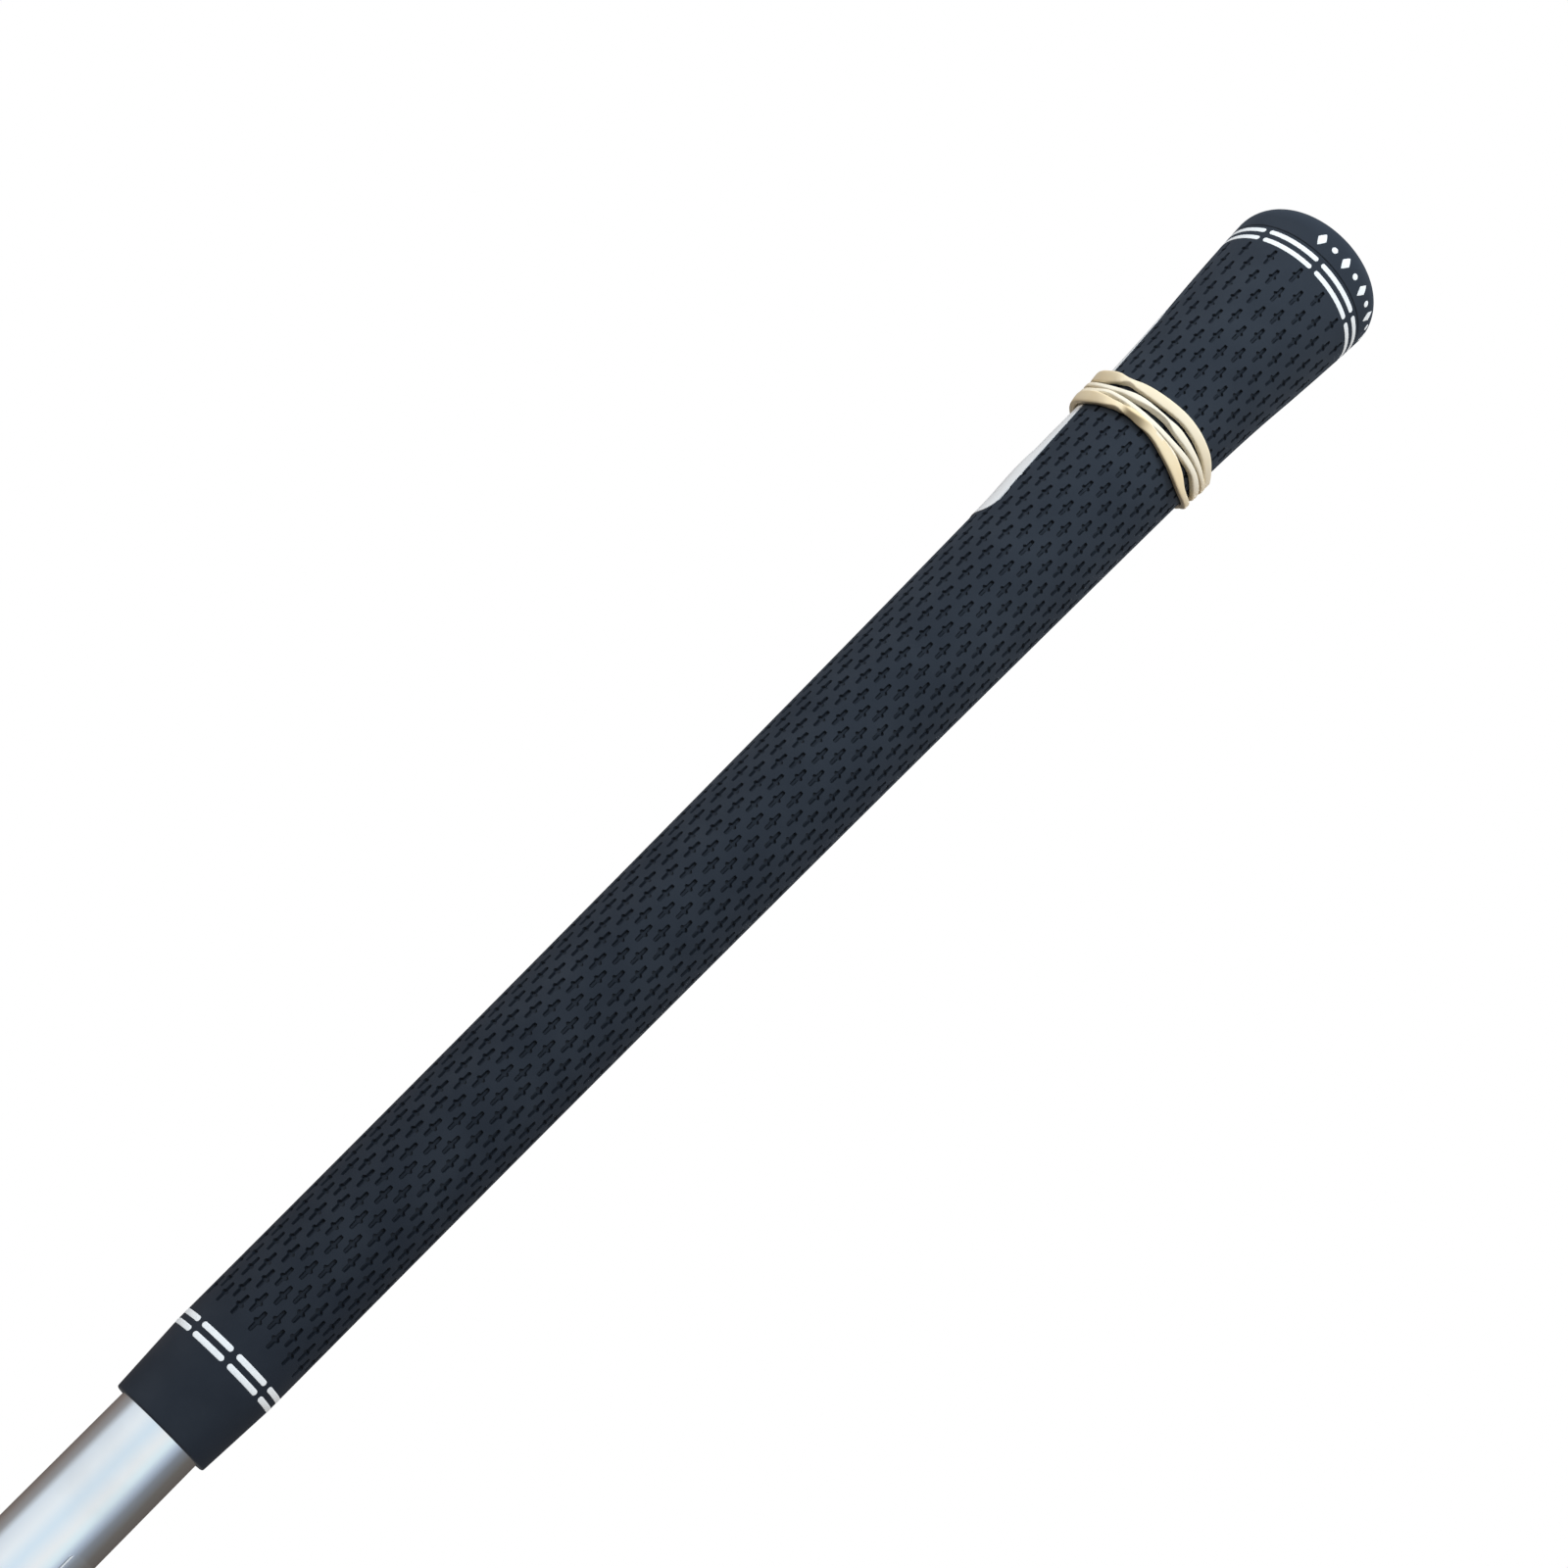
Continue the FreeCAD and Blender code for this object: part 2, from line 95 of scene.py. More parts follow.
@dataclass(frozen=True)
class GripProfile:
    """The outside of the whole grip, from the mouth to the top of the cap's shoulder."""

    bends: tuple[Bend, ...] = (
        Bend(0.0, 8.35, 12.0, 9.05),
        Bend(12.0, 9.05, 220.0, 11.6, 12600.0),
        Bend(220.0, 11.6, 240.0, 12.6, 340.0),
        Bend(240.0, 12.6, 258.4, 13.87, -560.0),
        Bend(258.4, 13.87, 260.8, 13.98),
    )
    shoulder: float = 5.6

    def radius(self, height: float) -> float:
        """The grip's outer radius at a height above its mouth."""
        last = self.bends[-1]
        if height > last.high:
            rise = min(height - last.high, self.shoulder)
            return last.high_radius - self.shoulder + math.sqrt(self.shoulder**2 - rise**2)
        return next(b for b in self.bends if height <= b.high).radius(height)

    def at(self, height: float, angle: float, lift: float = 0.0) -> Vector:
        """A point over the grip's surface.

        Args:
            height: Height above the mouth.
            angle: Angle round the shaft, in radians.
            lift: How far the point stands off the surface.

        Returns:
            The point, in millimetres above the mouth.
        """
        return polar(self.radius(height) + lift, angle, height)


PROFILE = GripProfile()


def polar(radius: float, angle: float, height: float) -> Vector:
    """The point at a radius, an angle round the shaft and a height."""
    return Vector((radius * math.sin(angle), -radius * math.cos(angle), height))


def smooth_step(value: float, low: float, high: float) -> float:
    """0 below low, 1 above high, and an even S between them."""
    share = min(max((value - low) / (high - low), 0.0), 1.0)
    return share * share * (3.0 - 2.0 * share)


def periodic(stations: Sequence[tuple[float, float]], at: float, period: float) -> float:
    """A smooth closed curve through stations.

    Args:
        stations: (place, value) pairs in rising order within one period.
        at: The place asked for.
        period: The length after which the curve repeats.

    Returns:
        The curve's value, by a cubic between the two nearest stations.
    """
    count = len(stations)
    at = stations[0][0] + (at - stations[0][0]) % period
    found = max(i for i in range(count) if stations[i][0] <= at + WELD)
    places, values = [], []
    for step in (-1, 0, 1, 2):
        turns, index = divmod(found + step, count)
        places.append(stations[index][0] + turns * period)
        values.append(stations[index][1])
    slope_in = (values[2] - values[0]) / (places[2] - places[0])
    slope_out = (values[3] - values[1]) / (places[3] - places[1])
    span = places[2] - places[1]
    t = (at - places[1]) / span
    return ((2 * t**3 - 3 * t**2 + 1) * values[1] + (t**3 - 2 * t**2 + t) * span * slope_in
            + (3 * t**2 - 2 * t**3) * values[2] + (t**3 - t**2) * span * slope_out)


def woven(columns: int, rows: int, place: Callable[[int, int], Vector]) -> bmesh.types.BMesh:
    """A grid whose corners are each moved to a place.

    Args:
        columns: Faces along the grid's first side.
        rows: Faces along its second side.
        place: Gives the point for a corner's column and row, from 0.

    Returns:
        The mesh, with corners that share a place merged.
    """
    bm = bmesh.new()
    size = Matrix.Diagonal((columns, rows, 1.0, 1.0)) @ Matrix.Translation((0.5, 0.5, 0.0))
    bmesh.ops.create_grid(bm, x_segments=columns, y_segments=rows, size=0.5, matrix=size)
    for vert in bm.verts:
        vert.co = place(round(vert.co.x), round(vert.co.y))
    bmesh.ops.remove_doubles(bm, verts=bm.verts, dist=WELD)
    bmesh.ops.dissolve_degenerate(bm, dist=WELD, edges=bm.edges)
    return bm


def lathe(outline: Sequence[tuple[float, float]], steps: int) -> bmesh.types.BMesh:
    """A closed outline of (radius, height) points turned about the shaft's axis."""
    bm = bmesh.new()
    verts = [bm.verts.new((radius, 0.0, height)) for radius, height in outline]
    edges = [bm.edges.new((verts[i - 1], verts[i])) for i in range(len(verts))]
    bmesh.ops.spin(bm, geom=verts + edges, axis=(0, 0, 1), cent=(0, 0, 0), angle=TURN,
                   steps=steps, use_merge=True)
    bmesh.ops.remove_doubles(bm, verts=bm.verts, dist=WELD)
    return bm


def rounded(centre: tuple[float, float], radius: float, start: float, end: float,
            steps: int) -> list[tuple[float, float]]:
    """Points on an arc of an outline.

    Args:
        centre: The arc's centre, as (radius, height).
        radius: The arc's own radius.
        start: The first point's angle, in degrees from the outward direction.
        end: The last point's angle.
        steps: The number of stretches between points.

    Returns:
        The points, as (radius, height).
    """
    angles = [math.radians(start + (end - start) * i / steps) for i in range(steps + 1)]
    return [(centre[0] + radius * math.cos(a), centre[1] + radius * math.sin(a)) for a in angles]


def eased(step: int, steps: int) -> float:
    """A share from 0 to 1, in steps that are closer together towards both ends."""
    return 0.5 - 0.5 * math.cos(math.pi * step / steps)


def corner_trim(across: float, reach: float, corner: float) -> float:
    """How much a sheet's rounded corners take off each of its ends.

    Args:
        across: The place across the sheet.
        reach: The sheet's width.
        corner: The corners' radius.

    Returns:
        The length taken off at that place.
    """
    over = max(corner - min(across, reach - across), 0.0)
    return corner - math.sqrt(max(corner**2 - over**2, 0.0))


def mesh_of(bm: bmesh.types.BMesh, name: str) -> bpy.types.Mesh:
    """A mesh made from a bmesh, which is freed."""
    mesh = bpy.data.meshes.new(name)
    bm.to_mesh(mesh)
    bm.free()
    return mesh


def in_scene(name: str, data: bpy.types.ID) -> bpy.types.Object:
    """A new object of the scene that holds a mesh, a light or a camera."""
    made = bpy.data.objects.new(name, data)
    bpy.context.scene.collection.objects.link(made)
    return made


class Piece:
    """Finishes a mesh: puts it in the frame, marks its sharp edges and makes its object."""

    SHARP = math.radians(38.0)

    def __init__(self, name: str, finish: "Finish", replaces: Sequence[str]) -> None:
        """Names the piece, the finish it wears and the CAD nodes that it stands for."""
        self.name = name
        self.finish = finish
        self.replaces = replaces

    def make(self, bm: bmesh.types.BMesh, turn_out: bool = True) -> bpy.types.Object:
        """Turns a mesh in millimetres above the mouth into a piece that rides on the grip.

        Args:
            bm: The mesh, which is freed.
            turn_out: Whether to turn all faces outwards, which a mesh of several patches
                has had done to each of them.

        Returns:
            The piece's object.
        """
        if turn_out:
            bmesh.ops.recalc_face_normals(bm, faces=bm.faces)
        for face in bm.faces:
            face.smooth = True
        for edge in bm.edges:
            edge.smooth = len(edge.link_faces) != 2 or edge.calc_face_angle(0.0) < self.SHARP
        place = Matrix.Scale(MM, 4) @ Matrix.Translation((0.0, 0.0, MOUTH_Z))
        bmesh.ops.transform(bm, matrix=place, verts=bm.verts)
        mesh = mesh_of(bm, self.name)
        mesh.materials.append(self.finish.material())
        piece = in_scene(self.name, mesh)
        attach(piece, BODY)
        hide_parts(*self.replaces)
        LOG.info("%s: %d faces", self.name, len(mesh.polygons))
        return piece


# ---------------------------------------------------------------------------------------------
# Shader helpers


class Signal:
    """A number that varies over a surface or the sky, with arithmetic that adds Math nodes."""

    def __init__(self, tree: "Tree", socket: bpy.types.NodeSocket) -> None:
        """Wraps one output socket of a node tree."""
        self.tree = tree
        self.socket = socket

    def __add__(self, other: object) -> "Signal":
        """This number plus another."""
        return self.tree.math("ADD", self, other)

    def __radd__(self, other: object) -> "Signal":
        """Another number plus this one."""
        return self.tree.math("ADD", other, self)

    def __sub__(self, other: object) -> "Signal":
        """This number less another."""
        return self.tree.math("SUBTRACT", self, other)

    def __rsub__(self, other: object) -> "Signal":
        """Another number less this one."""
        return self.tree.math("SUBTRACT", other, self)

    def __mul__(self, other: object) -> "Signal":
        """This number times another."""
        return self.tree.math("MULTIPLY", self, other)

    def __rmul__(self, other: object) -> "Signal":
        """Another number times this one."""
        return self.tree.math("MULTIPLY", other, self)

    def __truediv__(self, other: object) -> "Signal":
        """This number divided by another."""
        return self.tree.math("DIVIDE", self, other)


class Tree:
    """A node tree, emptied and filled one node at a time."""

    def __init__(self, owner: bpy.types.Material | bpy.types.World) -> None:
        """Takes the tree of a material or a world and empties it."""
        owner.use_nodes = True
        self.tree = owner.node_tree
        self.tree.nodes.clear()

    def node(self, kind: str, settings: dict[str, object] | None = None,
             inputs: dict[str | int, object] | None = None) -> bpy.types.Node:
        """Adds a node.

        Args:
            kind: The node's type.
            settings: Its properties, set first; "stops" gives a ramp's (place, colour) pairs.
            inputs: Values, sockets or signals by the input's name or number.

        Returns:
            The node.
        """
        node = self.tree.nodes.new(kind)
        for key, value in (settings or {}).items():
            if key == "stops":
                self._set_stops(node, value)
            else:
                setattr(node, key, value)
        for key, value in (inputs or {}).items():
            self.feed(node.inputs[key], value)
        return node

    def _set_stops(self, node: bpy.types.Node, stops: Sequence[tuple[float, tuple]]) -> None:
        """Gives a colour ramp its stops."""
        elements = node.color_ramp.elements
        while len(elements) < len(stops):
            elements.new(1.0)
        for element, (place, colour) in zip(elements, stops):
            element.position = place
            element.color = colour

    def feed(self, target: bpy.types.NodeSocket, value: object) -> None:
        """Links a socket or signal to an input, or sets the input's value."""
        if isinstance(value, Signal):
            value = value.socket
        if isinstance(value, bpy.types.NodeSocket):
            self.tree.links.new(value, target)
        else:
            target.default_value = value

    def math(self, operation: str, first: object, second: object = 0.0) -> Signal:
        """The result of one Math node on two values."""
        node = self.node("ShaderNodeMath", {"operation": operation}, {0: first, 1: second})
        return Signal(self, node.outputs[0])

    def ramp(self, value: Signal, low: float, high: float) -> Signal:
        """A number spread from 0 at low to 1 at high, and held there."""
        node = self.node("ShaderNodeMapRange", inputs={
            "Value": value, "From Min": low, "From Max": high})
        return Signal(self, node.outputs[0])

    def mix(self, share: object, first: object, second: object) -> bpy.types.NodeSocket:
        """The colour at a share of the way from the first colour to the second."""
        node = self.node("ShaderNodeMix", {"data_type": "RGBA"},
                         {0: share, 6: first, 7: second})
        return node.outputs[2]

    def split(self, vector: bpy.types.NodeSocket) -> list[Signal]:
        """The three parts of a vector."""
        node = self.node("ShaderNodeSeparateXYZ", inputs={"Vector": vector})
        return [Signal(self, output) for output in node.outputs]


class Shader(Tree):
    """One material's node tree, built round a Principled shader."""

    def __init__(self, name: str) -> None:
        """Makes the material with its shader, output and object coordinates."""
        self.material = bpy.data.materials.new(name)
        super().__init__(self.material)
        self.surface = self.node("ShaderNodeBsdfPrincipled")
        self.node("ShaderNodeOutputMaterial", inputs={"Surface": self.surface.outputs[0]})
        self.place = self.node("ShaderNodeTexCoord").outputs["Object"]

    def set(self, **inputs: object) -> None:
        """Feeds the shader's own sockets, named with underscores for spaces."""
        for key, value in inputs.items():
            self.feed(self.surface.inputs[key.replace("_", " ")], value)

    def stretch(self, scale: tuple[float, float, float]) -> bpy.types.NodeSocket:
        """Object coordinates scaled along each axis."""
        mapping = self.node("ShaderNodeMapping", inputs={"Vector": self.place, "Scale": scale})
        return mapping.outputs[0]

    def height(self) -> Signal:
        """Height above the shaft's cut end, in metres."""
        return self.split(self.place)[2]

    def attribute(self, name: str) -> Signal:
        """A number carried by the mesh, or 0 where the mesh has none."""
        node = self.node("ShaderNodeAttribute", {"attribute_name": name})
        return Signal(self, node.outputs["Fac"])

    def noise(self, size_mm: float, detail: float = 3.0,
              vector: bpy.types.NodeSocket | None = None) -> Signal:
        """Cloudy noise from 0 to 1.

        Args:
            size_mm: About how wide its lumps are.
            detail: How many finer layers it has.
            vector: The coordinates it follows, in place of the object's own.

        Returns:
            The noise.
        """
        node = self.node("ShaderNodeTexNoise", inputs={
            "Vector": vector or self.place, "Scale": 1.0 / (size_mm * MM), "Detail": detail})
        return Signal(self, node.outputs["Fac"])

    def bump(self, height: Signal, depth_mm: float) -> None:
        """Gives the surface small relief from a height between 0 and 1."""
        node = self.node("ShaderNodeBump", inputs={
            "Strength": 1.0, "Distance": depth_mm * MM, "Height": height})
        self.set(Normal=node.outputs[0])


Colour = tuple[float, float, float, float]


def colour(red: float, green: float, blue: float) -> Colour:
    """An opaque linear colour."""
    return (red, green, blue, 1.0)


@dataclass(frozen=True)
class Finish:
    """A finish of the grip, and the record's slot that it stands for."""

    name: str
    slot: str

    def material(self) -> bpy.types.Material:
        """The finish's material, made the first time it is asked for."""
        return bpy.data.materials.get(self.name) or self.mix_material()

    def mix_material(self) -> bpy.types.Material:
        """Builds the material. Each finish has its own."""
        raise NotImplementedError


@dataclass(frozen=True)
class Rubber(Finish):
    """Matte moulded rubber with a fine skin, a faint bloom and small scuffs, with painted shade in
    its recesses and painted light that makes it lighter towards the butt.
    """

    base: Colour = colour(0.0115, 0.0162, 0.0250)
    # The lighter colour of the mottled bloom, which the painted light towards the butt also
    # reaches.
    bloom_and_painted_light: Colour = colour(0.0300, 0.0390, 0.0530)
    # Painted shade: the dark colour that the recesses' walls and floors are drawn towards.
    recess_shade_colour: Colour = colour(0.0025, 0.0038, 0.0062)
    painted_light_from: float = 0.10      # metres above the shaft's cut end, where the painted light towards the butt starts
    painted_light_full: float = 0.31
    roughness: float = 0.60
    shine: float = 0.28
    grain_depth: float = 0.012

    def mix_material(self) -> bpy.types.Material:
        """Builds the material."""
        shader = Shader(self.name)
        cloud = shader.ramp(shader.noise(9.0, 4.0), 0.35, 0.7)
        speck = shader.ramp(shader.noise(0.5, 2.0), 0.68, 0.8)
        grain = shader.noise(0.16, 3.0)
        # Painted light: the rubber's colour grows lighter with height, towards the butt.
        rise = shader.ramp(shader.height(), self.painted_light_from, self.painted_light_full)
        # Painted shade: the recesses' walls and floors are darkened towards the shade colour, and
        # made rougher.
        recess_shade = shader.attribute("recess_shade")
        tone = shader.mix(cloud * 0.25 + speck * 0.15 + rise * 0.6, self.base, self.bloom_and_painted_light)
        tone = shader.mix(recess_shade * 0.9, tone, self.recess_shade_colour)
        shader.set(Base_Color=tone,
                   Roughness=self.roughness - 0.08 * cloud + 0.1 * speck + 0.2 * recess_shade,
                   IOR=1.45, Specular_IOR_Level=self.shine)
        shader.bump(grain + shader.noise(0.6, 2.0) * 0.6, self.grain_depth)
        return shader.material


@dataclass(frozen=True)
class Paint(Finish):
    """Paint wiped into a moulded recess: satin, with slightly uneven cover."""

    base: Colour = colour(0.86, 0.90, 0.93)
    thin: Colour = colour(0.62, 0.67, 0.72)

    def mix_material(self) -> bpy.types.Material:
        """Builds the material."""
        shader = Shader(self.name)
        cover = shader.ramp(shader.noise(0.45, 4.0), 0.52, 0.72)
        shader.set(Base_Color=shader.mix(cover * 0.35, self.base, self.thin),
                   Roughness=0.42 + 0.2 * shader.noise(0.3, 2.0))
        shader.bump(shader.noise(0.25, 3.0), 0.012)
        return shader.material


@dataclass(frozen=True)
class Chrome(Finish):
    """Bright chrome plate, with polishing haze and a few handling marks."""

    base: Colour = colour(0.80, 0.83, 0.86)
    smudge: Colour = colour(0.72, 0.74, 0.76)

    def mix_material(self) -> bpy.types.Material:
        """Builds the material."""
        shader = Shader(self.name)
        haze = shader.ramp(shader.noise(14.0, 5.0), 0.45, 0.75)
        lines = shader.noise(0.9, 3.0, shader.stretch((1.0, 1.0, 0.03)))
        shader.set(Base_Color=shader.mix(haze * 0.5, self.base, self.smudge), Metallic=1.0,
                   Roughness=0.13 + 0.10 * haze + 0.04 * lines)
        return shader.material


@dataclass(frozen=True)
class Latex(Finish):
    """Natural latex: waxy, yellow where it is slack and nearly white where it is stretched; the
    yellow end also serves as painted shade, tan where a twisted band faces down.
    """

    # Yellow of slack latex, also used as painted shade on faces that turn down.
    slack_and_shaded: Colour = colour(0.83, 0.67, 0.40)
    stretched: Colour = colour(0.86, 0.80, 0.66)

    def mix_material(self) -> bpy.types.Material:
        """Builds the material."""
        shader = Shader(self.name)
        # Painted shade: low tones also darken twists where a band turns its face down.
        tone = shader.attribute("tone")
        cloud = shader.noise(3.0, 3.0, shader.stretch((1.0, 1.0, 2.4)))
        streak = shader.noise(1.4, 2.0, shader.stretch((0.3, 0.3, 2.2)))
        share = shader.ramp(tone + cloud * 0.3, 0.08, 0.95)
        shader.set(Base_Color=shader.mix(share, self.slack_and_shaded, self.stretched),
                   Roughness=0.38 + 0.16 * streak)
        shader.bump(streak, 0.008)
        return shader.material


@dataclass(frozen=True)
class Paper(Finish):
    """Uncoated white paper with a soft fibre texture."""

    base: Colour = colour(0.80, 0.82, 0.84)
    fibre: Colour = colour(0.70, 0.72, 0.74)

    def mix_material(self) -> bpy.types.Material:
        """Builds the material."""
        shader = Shader(self.name)
        fibres = shader.noise(0.35, 5.0, shader.stretch((1.0, 1.0, 0.3)))
        shader.set(Base_Color=shader.mix(fibres * 0.5, self.base, self.fibre), Roughness=0.82)
        shader.bump(fibres + shader.noise(2.5, 2.0) * 0.7, 0.02)
        return shader.material


@dataclass(frozen=True)
class Film(Finish):
    """Clear glossy film, almost unseen but for its lifted first edge, whose glint is painted: the
    film is drawn pale and nearly opaque there.
    """

    tint: Colour = colour(0.86, 0.90, 0.93)
    cover: float = 0.01           # a line of sight meets the film's faces up to four times
    # Painted glint: how opaque the film is drawn along its first edge.
    glint_cover: float = 0.7

    def mix_material(self) -> bpy.types.Material:
        """Builds the material."""
        shader = Shader(self.name)
        ripple = shader.noise(6.0, 1.0)
        # Painted glint along the first edge, from the edge attribute.
        cover = self.cover + self.cover * ripple + self.glint_cover * shader.attribute("edge")
        shader.set(Base_Color=self.tint, Alpha=cover, Roughness=0.2, IOR=1.48)
        return shader.material


@dataclass(frozen=True)
class Tape(Finish):
    """Paper-backed adhesive tape with a crepe weave."""

    base: Colour = colour(0.72, 0.68, 0.56)
    dark: Colour = colour(0.58, 0.54, 0.43)

    def mix_material(self) -> bpy.types.Material:
        """Builds the material."""
        shader = Shader(self.name)
        crepe = shader.noise(0.8, 3.0, shader.stretch((0.4, 0.4, 2.2)))
        shader.set(Base_Color=shader.mix(crepe, self.base, self.dark), Roughness=0.7)
        shader.bump(crepe, 0.06)
        return shader.material


SLEEVE_RUBBER = Rubber("moulded_rubber", "sleeve_rubber")
CAP_RUBBER = Rubber("hard_rubber", "cap_rubber", roughness=0.56, grain_depth=0.008)
WHITE_PAINT = Paint("wiped_paint", "white_paint")
SHAFT_CHROME = Chrome("chrome_plate", "shaft_chrome")
BAND_LATEX = Latex("natural_latex", "latex")
SLIP_PAPER = Paper("bent_paper", "slip_paper")
CLEAR_FILM = Film("gloss_film", "clear_film")
GRIP_TAPE = Tape("crepe_tape", "tape")


# ---------------------------------------------------------------------------------------------
# Sub-assemblies


@dataclass
class Sleeve:
    """The rubber sleeve: a tube whose outside is set with rows of cross-shaped recesses.

    The crosses stand in columns. Every second column is set lower, so that a low column's cross
    bar is level with the foot of its neighbours' stems.
    """

    columns: int = 32
    pitch: float = 4.87
    first: float = 20.8           # centre of the lowest cross of a high column
    drop: float = 1.93            # how much lower the low columns start
    high_crosses: int = 48
    low_crosses: int = 49
    stem_reach: float = 1.69
    stem_round: float = 1.40      # where a stem starts to narrow towards its end
    stem_half: float = 0.34
    end_half: float = 0.24
    hub_half: float = 0.40        # half height of the diamond where the arms meet
    bar_reach: float = 0.71
    bar_half: float = 0.24
    bar_end_half: float = 0.14
    wall: float = 0.16            # width of a recess's sloping wall
    depth: float = 0.42
    wall_shade: float = 0.55    # how much painted shade darkens a recess's wall, and its floor
    floor_shade: float = 0.20
    margin: float = 0.9           # keeps a bar's test clear of the faces beside it
    bore: float = 7.65
    bore_rows: tuple[float, ...] = (170.0, 90.0)
    step_bore: float = 7.43       # the bore's narrower stretch, its top and its foot
    step_top: float = 20.0
    step_foot: float = 3.0
    step_slope: float = 1.0
    mouth_bore: float = 7.2
    mouth_flare: tuple[float, float] = (0.12, 0.3)
    rim: float = 0.35
    lip_rows: tuple[float, ...] = (1.2, 3.0, 5.5, 8.5, 11.0, 12.0, 13.0, 15.0)
    seat: float = 255.35
    spigot: float = 11.05
    top_rows: tuple[float, ...] = (255.6, 256.8, 257.8, 258.25)
    top: float = 258.4
    top_round: float = 0.12
    ranks: int = 8                # grid rows in one pitch
    plain_spread: float = 0.9     # how wide the grid's lines run beyond the crosses

    def lattice_rows(self) -> list[tuple[float, float]]:
        """Heights of every grid row of the lattice, in the high and in the low columns."""
        rows = []
        for rank in range(self.low_crosses):
            middle = self.first + rank * self.pitch
            below = middle - self.drop
            last = middle - self.pitch
            rows += [
                (last + self.stem_round, below - self.stem_reach),
                (last + self.stem_reach, below - self.stem_round),
                (below - self.bar_half,) * 2,
                (below + self.bar_half,) * 2,
                (middle - self.stem_round,) * 2,
                (below + self.stem_round,) * 2,
                (middle - self.bar_half,) * 2,
                (middle + self.bar_half,) * 2,
            ]
        return rows

    def mouth_rows(self) -> list[tuple[float, float]]:
        """(radius, height) of the rows from the bore's mouth round the rim and up the lip."""
        edge = PROFILE.radius(self.rim) - self.rim
        inner, outer = (self.mouth_bore + flare for flare in self.mouth_flare)
        rows = [(self.mouth_bore, self.rim * 2.0), (inner, self.rim * 0.4), (outer, 0.0)]
        rows += rounded((edge, self.rim), self.rim, -90.0, 0.0, 4)
        return rows + [(PROFILE.radius(height), height) for height in self.lip_rows]

    def butt_rows(self) -> list[tuple[float, float]]:
        """(radius, height) of the rows above the lattice, over the top and down the bore."""
        rows = [(PROFILE.radius(height), height) for height in self.top_rows]
        rows += [(PROFILE.radius(self.top) - self.top_round, self.top), (self.spigot, self.top),
                 (self.spigot, self.seat), (self.bore, self.seat)]
        rows += [(self.bore, height) for height in self.bore_rows]
        return rows + [(self.bore, self.step_top + self.step_slope),
                       (self.step_bore, self.step_top), (self.step_bore, self.step_foot),
                       (self.mouth_bore, self.step_foot)]

    def offsets(self, row: int, high: bool) -> tuple[float, float, float, float]:
        """Where a lattice row's four corners lie across a column.

        Args:
            row: The lattice row.
            high: Whether the column is a high one.

        Returns:
            Arc lengths from the column's middle: bar end, stem side, stem side, bar end.
        """
        ends = (1, 3) if high else (0, 6)
        half = self.end_half if row % self.ranks in ends else self.stem_half
        return (-self.bar_reach, -half, half, self.bar_reach)

    def build(self) -> bpy.types.Object:
        """Builds the sleeve and its recesses."""
        lattice, mouth, butt = self.lattice_rows(), self.mouth_rows(), self.butt_rows()
        first, above = len(mouth), len(mouth) + len(lattice)
        loop = above + len(butt)
        pitch_angle = TURN / self.columns
        bars = {True: (6, 7), False: (2, 3)}      # rows at the foot and top of a bar

        def place(column: int, row: int) -> Vector:
            """The point of a grid corner."""
            column, row = column % (4 * self.columns), row % loop
            lane, corner = divmod(column, 4)
            high = lane % 2 == 0
            inner = row - first
            lattice_row = 0 <= inner < len(lattice)
            offset = self.offsets(inner if lattice_row else 1, high)[corner]
            middle = (lane + 0.5) * pitch_angle
            if not lattice_row:
                radius, height = mouth[row] if row < first else butt[row - above]
                spread = offset / PROFILE.bends[0].high_radius * self.plain_spread
                return polar(radius, middle + spread, height)
            height = lattice[inner][0 if high else 1]
            if inner % self.ranks in bars[high]:
                half = self.bar_end_half if corner in (0, 3) else self.hub_half
                outward = half - self.bar_half
                height += -outward if inner % self.ranks == bars[high][0] else outward
            return PROFILE.at(height, middle + offset / PROFILE.radius(height))

        bm = woven(4 * self.columns, loop, place)
        bmesh.ops.recalc_face_normals(bm, faces=bm.faces)
        # Painted shade: each recess's walls and floor carry a share that darkens the rubber there.
        recess_shade = bm.faces.layers.float.new("recess_shade")
        crosses = [face for face in bm.faces if self.in_cross(face)]
        walls = bmesh.ops.inset_region(bm, faces=crosses, use_boundary=True, use_even_offset=True,
                                       thickness=self.wall, depth=-self.depth)["faces"]
        for face in crosses:
            face[recess_shade] = self.floor_shade
        for face in walls:
            face[recess_shade] = self.wall_shade
        return Piece("grip_sleeve_rubber", SLEEVE_RUBBER, ["grip_sleeve"]).make(bm)

    def in_cross(self, face: bmesh.types.BMFace) -> bool:
        """Whether a face of the outside lies in the stem or the bar of a cross."""
        middle = face.calc_center_median()
        radius = math.hypot(middle.x, middle.y)
        foot = self.first - self.drop - self.stem_reach
        if radius < PROFILE.bends[0].low_radius or not foot < middle.z < self.seat:
            return False
        turn = (math.atan2(middle.x, -middle.y) % TURN) / TURN * self.columns
        lane = int(turn)
        across = abs((turn - lane - 0.5) * TURN / self.columns * radius)
        high = lane % 2 == 0
        lowest = self.first - (0.0 if high else self.drop)
        rank = round((middle.z - lowest) / self.pitch)
        along = abs(middle.z - lowest - rank * self.pitch)
        if not 0 <= rank < (self.high_crosses if high else self.low_crosses):
            return False
        in_stem = across < self.end_half and along < self.stem_reach
        return in_stem or (across < self.bar_reach and along < self.bar_half * self.margin)


